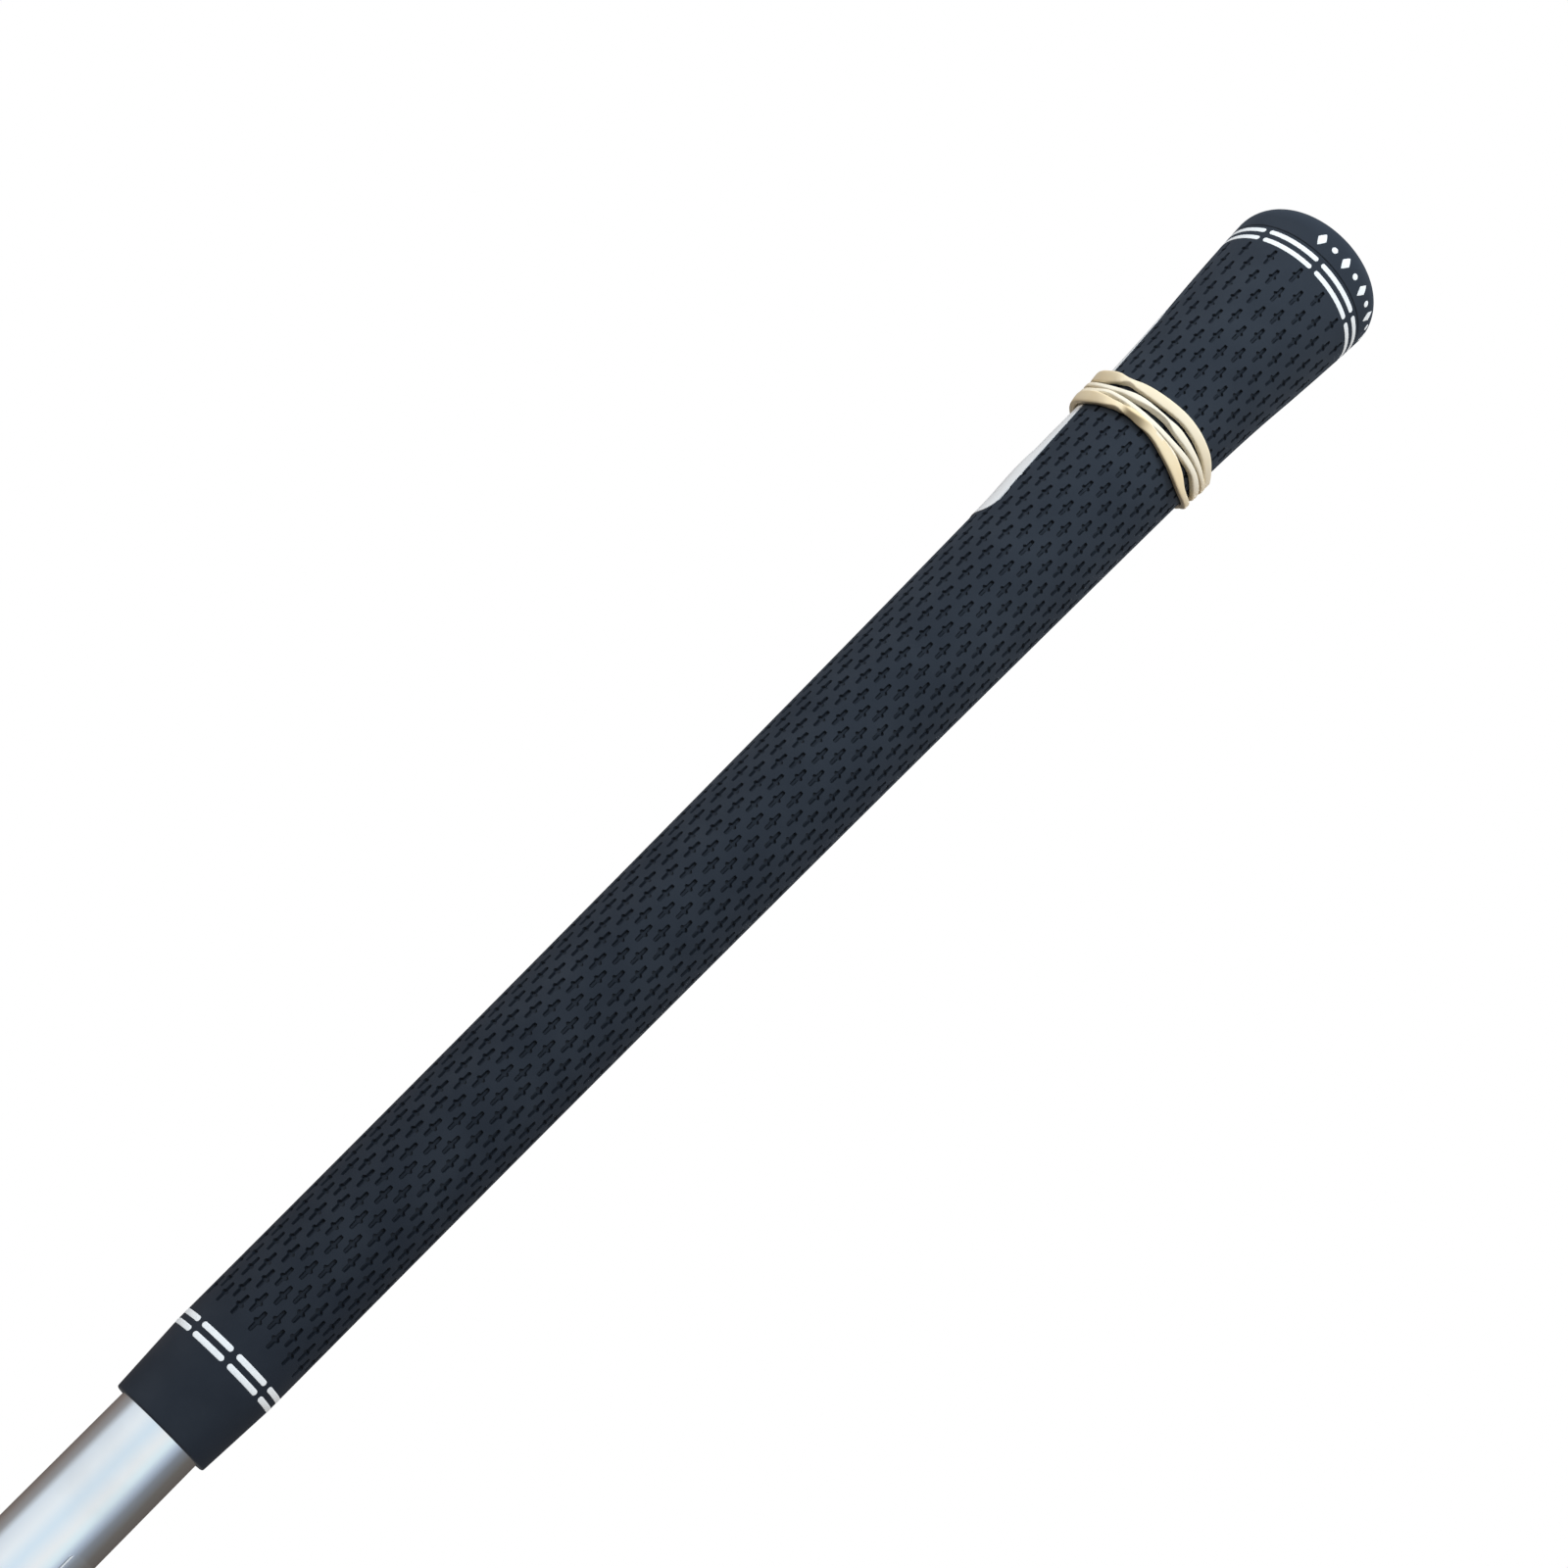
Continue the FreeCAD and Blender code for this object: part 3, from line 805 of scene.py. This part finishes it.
@dataclass
class ButtCap:
    """The harder cap: spigot, rounded shoulder, shallow dome and vent hole."""

    parting: float = 258.45
    parting_round: float = 0.12
    dome: float = 0.4
    vent: float = 1.6
    vent_round: float = 0.3
    seat: float = 261.4
    bore: float = 7.65
    spigot: float = 11.0
    spigot_low: float = 255.4
    steps: int = 160

    def outline(self) -> list[tuple[float, float]]:
        """(radius, height) points of the cap's section."""
        last = PROFILE.bends[-1]
        crown = last.high_radius - PROFILE.shoulder
        top = last.high + PROFILE.shoulder
        edge = PROFILE.radius(self.parting + self.parting_round)
        points = [(self.spigot, self.parting), (edge - self.parting_round, self.parting),
                  (edge, self.parting + self.parting_round)]
        points += rounded((crown, last.high), PROFILE.shoulder, 0.0, 90.0, 18)
        flat_from = self.vent + self.vent_round
        for step in range(1, 9):
            radius = crown + (flat_from - crown) * step / 8.0
            points.append((radius, top + self.dome * (1.0 - (radius / crown) ** 2)))
        vent_top = points[-1][1] - self.vent_round
        points += rounded((flat_from, vent_top), self.vent_round, 90.0, 180.0, 4)[1:]
        return points + [(self.vent, self.seat), (self.bore, self.seat),
                         (self.bore, self.spigot_low), (self.spigot, self.spigot_low)]

    def build(self) -> bpy.types.Object:
        """Builds the cap."""
        return Piece("butt_cap_rubber", CAP_RUBBER, ["butt_cap"]).make(
            lathe(self.outline(), self.steps))


class MarkShape(Enum):
    """The shapes that paint is wiped into."""

    DASH = "dash"
    LOZENGE = "lozenge"
    DOT = "dot"


@dataclass(frozen=True)
class PaintMark:
    """A patch of paint on the grip, a hair above the rubber round it."""

    shape: MarkShape
    height: float
    angle: float
    half_length: float
    half_height: float
    proud: float = 0.022          # how far the paint stands above the rubber
    edge: float = 0.06
    edge_share: float = 0.3       # how much of that rise its rounded edge takes
    sunk: float = 0.15            # how far its hidden foot lies below the surface
    waist: float = 1.15           # how hollow a lozenge's sides are
    columns: int = 20
    rows: int = 4

    def share(self, along: float) -> float:
        """The patch's half height at a place along it from -1 to 1, as a share of the most."""
        if self.shape is MarkShape.LOZENGE:
            return max(1.0 - abs(along) ** self.waist, 0.0)
        if self.shape is MarkShape.DOT:
            return math.sqrt(max(1.0 - along * along, 0.0))
        end = (abs(along) - 1.0) * self.half_length / self.half_height + 1.0
        return math.sqrt(max(1.0 - max(end, 0.0) ** 2, 0.0))

    def station(self, column: int) -> float:
        """The place along the patch of a grid column, closer together towards its ends."""
        return math.sin((column / self.columns - 0.5) * math.pi)

    def build(self) -> bmesh.types.BMesh:
        """Builds the patch as a low closed pad that follows the surface."""
        def place(column: int, row: int) -> Vector:
            """The point of a grid corner."""
            along = self.station(column)
            up = 2.0 * row / self.rows - 1.0
            level = self.height + self.half_height * self.share(along) * up
            turn = self.angle + along * self.half_length / PROFILE.radius(self.height)
            return PROFILE.at(level, turn, -self.sunk)

        bm = woven(self.columns, self.rows, place)
        made = bmesh.ops.extrude_face_region(bm, geom=bm.faces[:])["geom"]
        top = [item for item in made if isinstance(item, bmesh.types.BMFace)]
        self.raise_faces(top, self.sunk + self.proud * self.edge_share)
        bmesh.ops.inset_region(bm, faces=top, thickness=self.edge, use_even_offset=True)
        self.raise_faces(top, self.proud * (1.0 - self.edge_share))
        return bm

    def raise_faces(self, faces: Sequence[bmesh.types.BMFace], lift: float) -> None:
        """Moves faces straight out from the shaft's axis."""
        for vert in {vert for face in faces for vert in face.verts}:
            out = Vector((vert.co.x, vert.co.y, 0.0)).normalized()
            vert.co += out * lift


def join_marks(marks: Sequence[PaintMark]) -> bmesh.types.BMesh:
    """One mesh that holds every patch of a list."""
    joined = bmesh.new()
    for mark in marks:
        bm = mark.build()
        bmesh.ops.recalc_face_normals(bm, faces=bm.faces)
        mesh = mesh_of(bm, "patch")
        joined.from_mesh(mesh)
        bpy.data.meshes.remove(mesh)
    return joined


@dataclass
class PaintRings:
    """The dashed white rings: two at the mouth and two at the butt, each of equal dashes."""

    dashes: int = 8
    half_width: float = 0.44
    gap: float = 0.9
    columns: int = 40
    heights: dict[str, float] = field(default_factory=lambda: {
        "mouth_ring_paint_lower": 11.96,
        "mouth_ring_paint_upper": 13.74,
        "butt_ring_paint_lower": 255.46,
        "butt_ring_paint_upper": 257.3,
    })

    def build(self) -> None:
        """Builds one piece for each ring."""
        for node, height in self.heights.items():
            arc = TURN * PROFILE.radius(height) / self.dashes
            marks = [
                PaintMark(MarkShape.DASH, height, (dash + 0.5) * TURN / self.dashes,
                          (arc - self.gap) / 2.0, self.half_width, columns=self.columns)
                for dash in range(self.dashes)
            ]
            Piece(f"{node}_fill", WHITE_PAINT, [node]).make(join_marks(marks), turn_out=False)


@dataclass
class CapMarks:
    """Plain lozenges and dots of paint on the cap's shoulder, in two equal runs."""

    height: float = 260.9
    first: float = math.radians(-10.0)
    span: float = math.radians(92.0)
    lozenges: int = 5
    runs: int = 2
    lozenge_size: tuple[float, float] = (0.85, 1.35)
    dot_radius: float = 0.55
    columns: int = 16

    def build(self) -> bpy.types.Object:
        """Builds the marks as one piece."""
        steps = 2 * (self.lozenges - 1)
        marks = []
        for run in range(self.runs):
            for step in range(steps + 1):
                angle = self.first + run * TURN / self.runs + self.span * step / steps
                lozenge = step % 2 == 0
                size = self.lozenge_size if lozenge else (self.dot_radius, self.dot_radius)
                shape = MarkShape.LOZENGE if lozenge else MarkShape.DOT
                marks.append(PaintMark(shape, self.height, angle, *size, columns=self.columns))
        return Piece("cap_mark_fill", WHITE_PAINT, ["cap_mark_paint"]).make(
            join_marks(marks), turn_out=False)


@dataclass
class Shaft:
    """The plated steel tube, open at its cut end, with a step below the grip."""

    tail: float = 6.95
    tail_bore: float = 6.55
    tail_length: float = 27.0
    outer: float = 7.15
    bore: float = 6.75
    butt: float = 7.37
    butt_bore: float = 6.97
    step: float = 20.0
    step_length: float = 1.0
    shoulder: tuple[float, float] = (0.02, 0.4)   # rounds the tail's step: inwards and upwards
    top: float = 261.0
    edge: float = 0.12
    steps: int = 192

    def build(self) -> bpy.types.Object:
        """Builds the tube."""
        low = -MOUTH_Z
        tail_top = low + self.tail_length
        inwards, upwards = self.shoulder
        outline = [
            (self.tail_bore, low + self.edge), (self.tail_bore + self.edge, low),
            (self.tail - self.edge, low), (self.tail, low + self.edge),
            (self.tail, tail_top), (self.outer - inwards, tail_top + self.step_length),
            (self.outer, tail_top + self.step_length + upwards),
            (self.outer, self.step), (self.butt, self.step + self.step_length),
            (self.butt, self.top), (self.butt_bore, self.top),
            (self.butt_bore, self.step + self.step_length), (self.bore, self.step),
            (self.bore, tail_top + self.step_length), (self.tail_bore, tail_top),
        ]
        return Piece("shaft_tube_plated", SHAFT_CHROME, ["shaft_tube"]).make(
            lathe(outline, self.steps))


@dataclass
class ShaftFilm:
    """The clear film label on the bare shaft."""

    top: float = -19.0
    length: float = 10.0
    inner: float = 7.17
    thickness: float = 0.12
    start: float = math.radians(30.0)
    sweep: float = math.radians(120.0)
    corner: float = 1.2
    peel: float = 0.12            # how far the first edge stands off the shaft
    peel_width: float = 0.8
    painted_glint_fade: tuple[float, float] = (0.12, 0.3)     # where the edge's painted glint starts and stops fading
    columns: int = 48
    rows: int = 12

    def build(self) -> bpy.types.Object:
        """Builds the film as a thin bent sheet with rounded corners and a lifting first edge."""
        half, reach = self.length / 2.0, self.sweep * self.inner

        def place(column: int, row: int) -> Vector:
            """The point of a grid corner."""
            share, up = eased(column, self.columns), 2.0 * row / self.rows - 1.0
            across = share * reach
            height = self.top - half + up * (half - corner_trim(across, reach, self.corner))
            lifted = self.inner + self.peel * (1.0 - smooth_step(across, 0.0, self.peel_width))
            return polar(lifted, self.start + self.sweep * share, height)

        bm = woven(self.columns, self.rows, place)
        bmesh.ops.recalc_face_normals(bm, faces=bm.faces)
        bmesh.ops.solidify(bm, geom=bm.faces[:], thickness=-self.thickness)
        # Painted glint: the film's first edge is marked to be drawn pale and nearly opaque.
        edge = bm.verts.layers.float.new("edge")
        for vert in bm.verts:
            across = (math.atan2(vert.co.x, -vert.co.y) - self.start) % TURN * self.inner
            vert[edge] = 1.0 - smooth_step(across, *self.painted_glint_fade)
        return Piece("shaft_film_clear", CLEAR_FILM, ["shaft_film"]).make(bm)


@dataclass(frozen=True)
class Hold:
    """How a band lies at one angle round the grip.

    Heights are of the band's middle. The lift is the gap under it, the roll turns its outer face
    up (positive) or down, and the tone runs from yellow (0) to stretched white (1); its low end
    is partly painted shade, tan where a twisted band turns its face down.
    """

    angle: float
    height: float
    half_width: float
    lift: float = 0.03
    roll: float = 0.0
    tone: float = 0.45


@dataclass
class LatexBand:
    """A latex band wound twice round the grip, so that its end meets its start."""

    WINDING: ClassVar[float] = 720.0

    number: int
    first: tuple[Hold, ...]
    second: tuple[Hold, ...]
    half_thick: float = 0.62
    thinning: float = 0.10        # how much of its half width the band loses in thickness
    squareness: float = 0.45      # the power that fills out its section: 1 is an ellipse
    roll_room: float = 0.55       # how much of its half width a rolled band needs under it
    wander: float = 0.05          # how much its width wanders, over about how many degrees
    wander_length: float = 28.0
    wander_seed: float = 3.0
    steps: int = 560
    sides: int = 24

    def along(self, key: str, angle: float) -> float:
        """One of the band's values at an angle of its two turns, from 0 to 720 degrees."""
        stations = [(hold.angle, getattr(hold, key)) for hold in self.first]
        stations += [(hold.angle + 360.0, getattr(hold, key)) for hold in self.second]
        return periodic(stations, angle, self.WINDING)

    def angle(self, step: int) -> float:
        """The angle in degrees that a step along the band has reached."""
        return self.first[0].angle + self.WINDING * step / self.steps

    def squared(self, wave: float) -> float:
        """A sine or cosine filled out towards a square wave."""
        return math.copysign(abs(wave) ** self.squareness, wave)

    def section(self, step: int) -> list[Vector]:
        """The points of the band's section at a step along it."""
        angle = self.angle(step)
        height, half, lift, roll = (
            self.along(key, angle) for key in ("height", "half_width", "lift", "roll"))
        roll = math.radians(roll)
        spot = Vector((angle / self.wander_length, self.wander_seed, self.number))
        half *= 1.0 + self.wander * noise.noise(spot)
        thick = self.half_thick - self.thinning * half
        room = lift + thick + self.roll_room * half * abs(math.sin(roll))
        middle = PROFILE.radius(height) + room
        points = []
        for side in range(self.sides):
            around = TURN * side / self.sides
            wide = self.squared(math.cos(around)) * half
            deep = self.squared(math.sin(around)) * thick
            up = wide * math.cos(roll) + deep * math.sin(roll)
            out = deep * math.cos(roll) - wide * math.sin(roll)
            points.append(polar(middle + out, math.radians(angle), height + up))
        return points

    def build(self) -> bpy.types.Object:
        """Builds the band as one closed strip that carries its tone, which is partly painted shade.
        """
        sections = [self.section(step) for step in range(self.steps)]

        def place(column: int, row: int) -> Vector:
            """The point of a grid corner, whose last column and row meet the first."""
            return sections[column % self.steps][row % self.sides]

        bm = woven(self.steps, self.sides, place)
        # Painted shade: the tone carried here darkens twisted bands where their faces turn down.
        tone = bm.verts.layers.float.new("tone")
        nearest = KDTree(self.steps)
        for step, points in enumerate(sections):
            nearest.insert(sum(points, Vector()) / self.sides, step)
        nearest.balance()
        for vert in bm.verts:
            step = nearest.find(vert.co)[1]
            vert[tone] = self.along("tone", self.angle(step))
        node = f"rubber_band_{self.number}"
        return Piece(f"{node}_latex", BAND_LATEX, [node]).make(bm)


# Painted shade: the lowest tones, where a band is rolled face down at its twists, stand in for its
# shaded side.
BAND_ONE = LatexBand(1, (
    Hold(-88, 220.4, 1.00, 0.36, -8, 0.30), Hold(-66, 219.3, 1.15, 0.12, -22, 0.20),
    Hold(-52, 219.3, 0.92, roll=-22, tone=0.30), Hold(-40, 219.15, 0.56, roll=20, tone=0.50),
    Hold(-30, 219.15, 0.86, roll=5), Hold(-10, 219.3, 1.02), Hold(15, 219.8, 0.95, tone=0.55),
    Hold(45, 219.7, 0.98, roll=-5), Hold(65, 219.5, 0.90, 0.05, -5), Hold(80, 220.0, 0.80, 0.12),
    Hold(97, 221.6, 0.80, 0.12), Hold(125, 222.9, 0.85), Hold(160, 222.7, 0.85),
    Hold(190, 221.8, 0.85, 0.36), Hold(240, 220.6, 0.80, 0.36),
), (
    Hold(-88, 218.2, 0.60, 0.36), Hold(-66, 217.0, 0.50, 0.12, 10, 0.70),
    Hold(-50, 216.65, 0.55, roll=10, tone=0.85), Hold(-38, 216.85, 0.48, tone=0.90),
    Hold(-25, 216.95, 0.70, roll=12, tone=0.90), Hold(0, 217.1, 0.34, roll=30, tone=0.90),
    Hold(12, 217.25, 0.74, roll=5, tone=0.90), Hold(35, 217.4, 0.60, tone=0.80),
    Hold(60, 217.75, 0.48, 0.05, tone=0.60), Hold(76, 218.5, 0.55, 0.12),
    Hold(97, 220.0, 0.65, 0.20), Hold(125, 221.2, 0.80, 0.20), Hold(145, 222.1, 0.80, 1.08),
    Hold(172, 223.0, 0.80, 1.12), Hold(195, 223.2, 0.80, 0.50), Hold(240, 221.9, 0.85, 0.36),
))
BAND_TWO = LatexBand(2, (
    Hold(-88, 216.6, 0.60, 0.36), Hold(-66, 215.75, 0.55, 0.12, tone=0.60),
    Hold(-50, 215.75, 0.46, roll=10, tone=0.80), Hold(-35, 215.4, 0.45, roll=10, tone=0.90),
    Hold(-10, 215.0, 0.50, roll=10, tone=0.95), Hold(15, 215.1, 0.54, roll=5, tone=0.90),
    Hold(35, 215.75, 0.60, tone=0.85), Hold(50, 216.2, 0.60, tone=0.80),
    Hold(65, 216.45, 0.78, 0.05, tone=0.75), Hold(80, 217.0, 0.85, 0.12),
    Hold(97, 218.3, 0.75, 0.12), Hold(112, 219.1, 0.80), Hold(135, 219.2, 0.80),
    Hold(165, 218.4, 0.85), Hold(200, 217.4, 0.85, 0.36), Hold(240, 216.4, 0.90, 0.36),
), (
    Hold(-88, 215.2, 1.00, 0.36, -10, 0.25), Hold(-66, 214.4, 1.20, 0.12, -18, 0.20),
    Hold(-48, 214.1, 0.90, roll=-20, tone=0.20), Hold(-32, 214.05, 0.66, roll=10, tone=0.25),
    Hold(-22, 214.05, 0.72, roll=-60, tone=0.05), Hold(-12, 213.9, 0.82, roll=-50, tone=0.05),
    Hold(0, 213.95, 0.88, roll=-5, tone=0.20), Hold(20, 213.6, 1.20, tone=0.15),
    Hold(40, 213.2, 1.10, tone=0.15), Hold(55, 213.05, 0.72, 0.05, tone=0.20),
    Hold(70, 213.85, 0.62, 0.10, tone=0.30), Hold(88, 215.4, 0.70, 0.20, tone=0.30),
    Hold(108, 217.2, 0.80, 0.30), Hold(122, 218.3, 0.80, 1.05), Hold(145, 219.8, 0.80, 1.05),
    Hold(162, 220.2, 0.80, 0.15), Hold(190, 220.0, 0.80, 0.40), Hold(215, 219.1, 0.80, 0.36),
    Hold(245, 217.7, 0.70, 0.36),
))


@dataclass
class LabelSlip:
    """The paper slip, folded in two and bent round the grip's side and back, a little askew."""

    bottom: float = 187.0
    top: float = 240.0
    near: float = math.radians(-60.0)
    far: float = math.radians(-162.0)
    askew: float = math.radians(-0.49)     # turn about the grip for each millimetre of height
    corner: float = 3.0
    ply: float = 0.11
    gap: float = 0.06             # how far its outer face stands off where it lies flat
    columns: int = 56
    rows: int = 90
    edge_lift: float = 0.22       # how much of its bulge the slip keeps at its near edge
    edge_width: float = 4.0
    ripple_least: float = 0.35    # and in the troughs across it
    ripple_pitch: float = 0.24    # radians for each millimetre across
    ripple_shift: float = 1.1
    wave_period: float = 60.0
    waves: tuple[tuple[float, float], ...] = (    # (millimetres up the slip, bulge)
        (0.0, 0.04), (4.0, 0.06), (8.0, 0.22), (11.0, 0.32), (14.0, 0.28), (17.0, 0.14),
        (20.0, 0.14), (25.0, 0.06), (29.0, 0.02), (37.0, 0.02), (41.0, 0.05), (51.0, 0.05),
        (53.0, 0.04),
    )

    def build(self) -> bpy.types.Object:
        """Builds the slip as a closed sheet with rounded corners, thickened inwards."""
        reach = abs(self.far - self.near) * PROFILE.radius(self.bottom)

        def place(column: int, row: int) -> Vector:
            """The point of a grid corner, on the slip's outer face."""
            share = eased(column, self.columns)
            across = share * reach
            trim = corner_trim(across, reach, self.corner)
            rise = trim + row / self.rows * (self.top - self.bottom - 2.0 * trim)
            angle = self.near + (self.far - self.near) * share + self.askew * rise
            return PROFILE.at(self.bottom + rise, angle, self.gap + self.bulge(across, rise))

        bm = woven(self.columns, self.rows, place)
        bmesh.ops.recalc_face_normals(bm, faces=bm.faces)
        bmesh.ops.solidify(bm, geom=bm.faces[:], thickness=-self.ply * 2.0)
        return Piece("label_slip_paper", SLIP_PAPER, ["label_slip"]).make(bm)

    def bulge(self, across: float, rise: float) -> float:
        """How far the slip lifts off the rubber: least at its edge and under the bands."""
        wave = periodic(self.waves, rise, self.wave_period)
        ripple = 0.5 + 0.5 * math.cos(across * self.ripple_pitch - self.ripple_shift)
        freed = smooth_step(across, 0.0, self.edge_width)
        freed *= self.ripple_least + (1.0 - self.ripple_least) * ripple
        return wave * (self.edge_lift + (1.0 - self.edge_lift) * freed)


# ---------------------------------------------------------------------------------------------
# Studio


@dataclass
class Surround:
    """The room round the grip: plain white to the eye, and soft light and dim sides to the grip.

    The sides are (angle, colour) stops round the horizon, and they are what the plated shaft
    mirrors: a wide window in front and dim wood behind it. Reflections find a pale floor below,
    while the soft light from there stays dim.
    """

    sides: tuple[tuple[float, Colour], ...] = (
        (-180.0, colour(0.11, 0.09, 0.08)),
        (-135.0, colour(0.24, 0.20, 0.18)),
        (-102.0, colour(0.34, 0.33, 0.33)),
        (-84.0, colour(0.80, 0.86, 0.92)),
        (-45.0, colour(0.98, 1.02, 1.04)),
        (-15.0, colour(0.80, 0.94, 1.04)),
        (20.0, colour(1.02, 1.03, 1.02)),
        (42.0, colour(0.86, 1.00, 1.04)),
        (58.0, colour(0.50, 0.58, 0.70)),
        (78.0, colour(0.22, 0.24, 0.27)),
        (110.0, colour(0.155, 0.14, 0.125)),
        (180.0, colour(0.11, 0.09, 0.08)),
    )
    above: Colour = colour(0.28, 0.32, 0.38)
    below: Colour = colour(0.10, 0.085, 0.07)
    pale_floor: Colour = colour(0.62, 0.62, 0.63)
    to_above: tuple[float, float] = (0.15, 0.4)   # slopes over which the sides give way
    to_below: tuple[float, float] = (-0.12, -0.3)

    def build(self) -> None:
        """Makes the world."""
        world = bpy.data.worlds.new("surround")
        bpy.context.scene.world = world
        sky = Tree(world)
        ray = sky.node("ShaderNodeTexCoord").outputs["Generated"]
        across, along, up = sky.split(ray)
        turn = sky.math("ARCTAN2", across, along * -1.0) / TURN + 0.5
        stops = [(angle / 360.0 + 0.5, tint) for angle, tint in self.sides]
        sides = sky.node("ShaderNodeValToRGB", {"stops": stops}, {"Fac": turn}).outputs["Color"]
        high = sky.mix(sky.ramp(up, *self.to_above), sides, self.above)
        path = sky.node("ShaderNodeLightPath").outputs
        low = sky.mix(Signal(sky, path["Is Glossy Ray"]), self.below, self.pale_floor)
        light = sky.mix(sky.ramp(up, *self.to_below), high, low)
        dim = sky.node("ShaderNodeBackground", inputs={"Color": light})
        white = sky.node("ShaderNodeBackground", inputs={"Color": colour(1.0, 1.0, 1.0)})
        blend = sky.node("ShaderNodeMixShader", inputs={
            0: path["Is Camera Ray"], 1: dim.outputs[0], 2: white.outputs[0]})
        sky.node("ShaderNodeOutputWorld", inputs={"Surface": blend.outputs[0]})


@dataclass(frozen=True)
class Lamp:
    """A square soft light aimed at the grip's middle and unseen in its plating.

    Its place and its side are in metres, and its power is in watts.
    """

    name: str
    place: tuple[float, float, float]
    side: float
    power: float
    tint: tuple[float, float, float]

    def build(self) -> None:
        """Adds the light."""
        data = bpy.data.lights.new(self.name, "AREA")
        data.shape, data.size, data.energy, data.color = "SQUARE", self.side, self.power, self.tint
        lamp = in_scene(self.name, data)
        aim = Vector((0.0, 0.0, (MOUTH_Z + CAP_TOP_Z) / 2.0 * MM)) - Vector(self.place)
        turn = aim.to_track_quat("-Z", "Y").to_matrix().to_4x4()
        lamp.matrix_world = Matrix.Translation(self.place) @ turn
        lamp.visible_glossy = False


@dataclass
class Studio:
    """A pale floor, soft lights, a plain surround and the camera."""

    camera_distance: float = 413.4
    camera_height: float = -13.3      # above the grip's mouth
    camera_yaw: float = 0.26
    camera_tilt: float = 19.37
    camera_roll: float = 44.94
    lens: float = 65.25
    sensor: float = 36.0
    floor_radius: float = 0.55        # metres
    floor_solid: float = 0.02         # square of the distance at which the floor starts to fade
    lamps: tuple[Lamp, ...] = (
        Lamp("key", (-0.15, -0.75, 0.92), 0.35, 8.9, (0.92, 0.97, 1.0)),
        Lamp("fill", (1.1, -0.3, 0.5), 0.6, 6.0, (1.0, 0.90, 0.79)),
        Lamp("side", (-1.0, -0.3, 0.35), 0.5, 3.2, (1.0, 0.88, 0.76)),
        Lamp("back", (0.4, 1.1, 0.7), 0.6, 8.0, (1.0, 0.97, 0.93)),
    )

    def camera(self) -> None:
        """Sets up the camera, which looks up along the grip with a rolled frame."""
        data = bpy.data.cameras.new("camera")
        data.lens = self.lens
        data.sensor_width = self.sensor
        data.clip_start, data.clip_end = 0.01, 50.0
        camera = in_scene("camera", data)
        place = Vector((0.0, -self.camera_distance, MOUTH_Z + self.camera_height)) * MM
        turn = (Matrix.Rotation(math.radians(self.camera_yaw), 4, "Z")
                @ Matrix.Rotation(math.radians(90.0 + self.camera_tilt), 4, "X")
                @ Matrix.Rotation(math.radians(self.camera_roll), 4, "Z"))
        camera.matrix_world = Matrix.Translation(place) @ turn
        bpy.context.scene.camera = camera

    def floor(self) -> None:
        """Makes the pale floor that the shaft's cut end stands on; it fades out towards its rim."""
        bm = bmesh.new()
        bmesh.ops.create_circle(bm, cap_ends=True, segments=128, radius=self.floor_radius)
        mesh = mesh_of(bm, "floor")
        floor = in_scene("floor", mesh)
        shader = Shader("studio_floor")
        across, along, _ = shader.split(shader.place)
        fade = shader.ramp(across * across + along * along, self.floor_radius**2, self.floor_solid)
        shader.set(Base_Color=colour(0.9, 0.9, 0.9), Roughness=0.9, Alpha=fade)
        mesh.materials.append(shader.material)
        floor.visible_glossy = floor.visible_diffuse = False

    def build(self) -> None:
        """Sets up the whole studio."""
        self.camera()
        self.floor()
        Surround().build()
        for lamp in self.lamps:
            lamp.build()
        scene = bpy.context.scene
        scene.view_settings.view_transform = "Standard"
        scene.view_settings.look = "None"


def dress_tape() -> None:
    """Gives the tape's CAD node its finish."""
    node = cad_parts["grip_tape"]
    node.data.materials.clear()
    node.data.materials.append(GRIP_TAPE.material())
    LOG.info("grip_tape: dressed")


def main() -> None:
    """Builds the studio and every piece in order."""
    logging.basicConfig(level=logging.INFO)
    Studio().build()
    Sleeve().build()
    ButtCap().build()
    PaintRings().build()
    CapMarks().build()
    Shaft().build()
    ShaftFilm().build()
    BAND_ONE.build()
    BAND_TWO.build()
    LabelSlip().build()
    dress_tape()


if __name__ == "__main__":
    main()
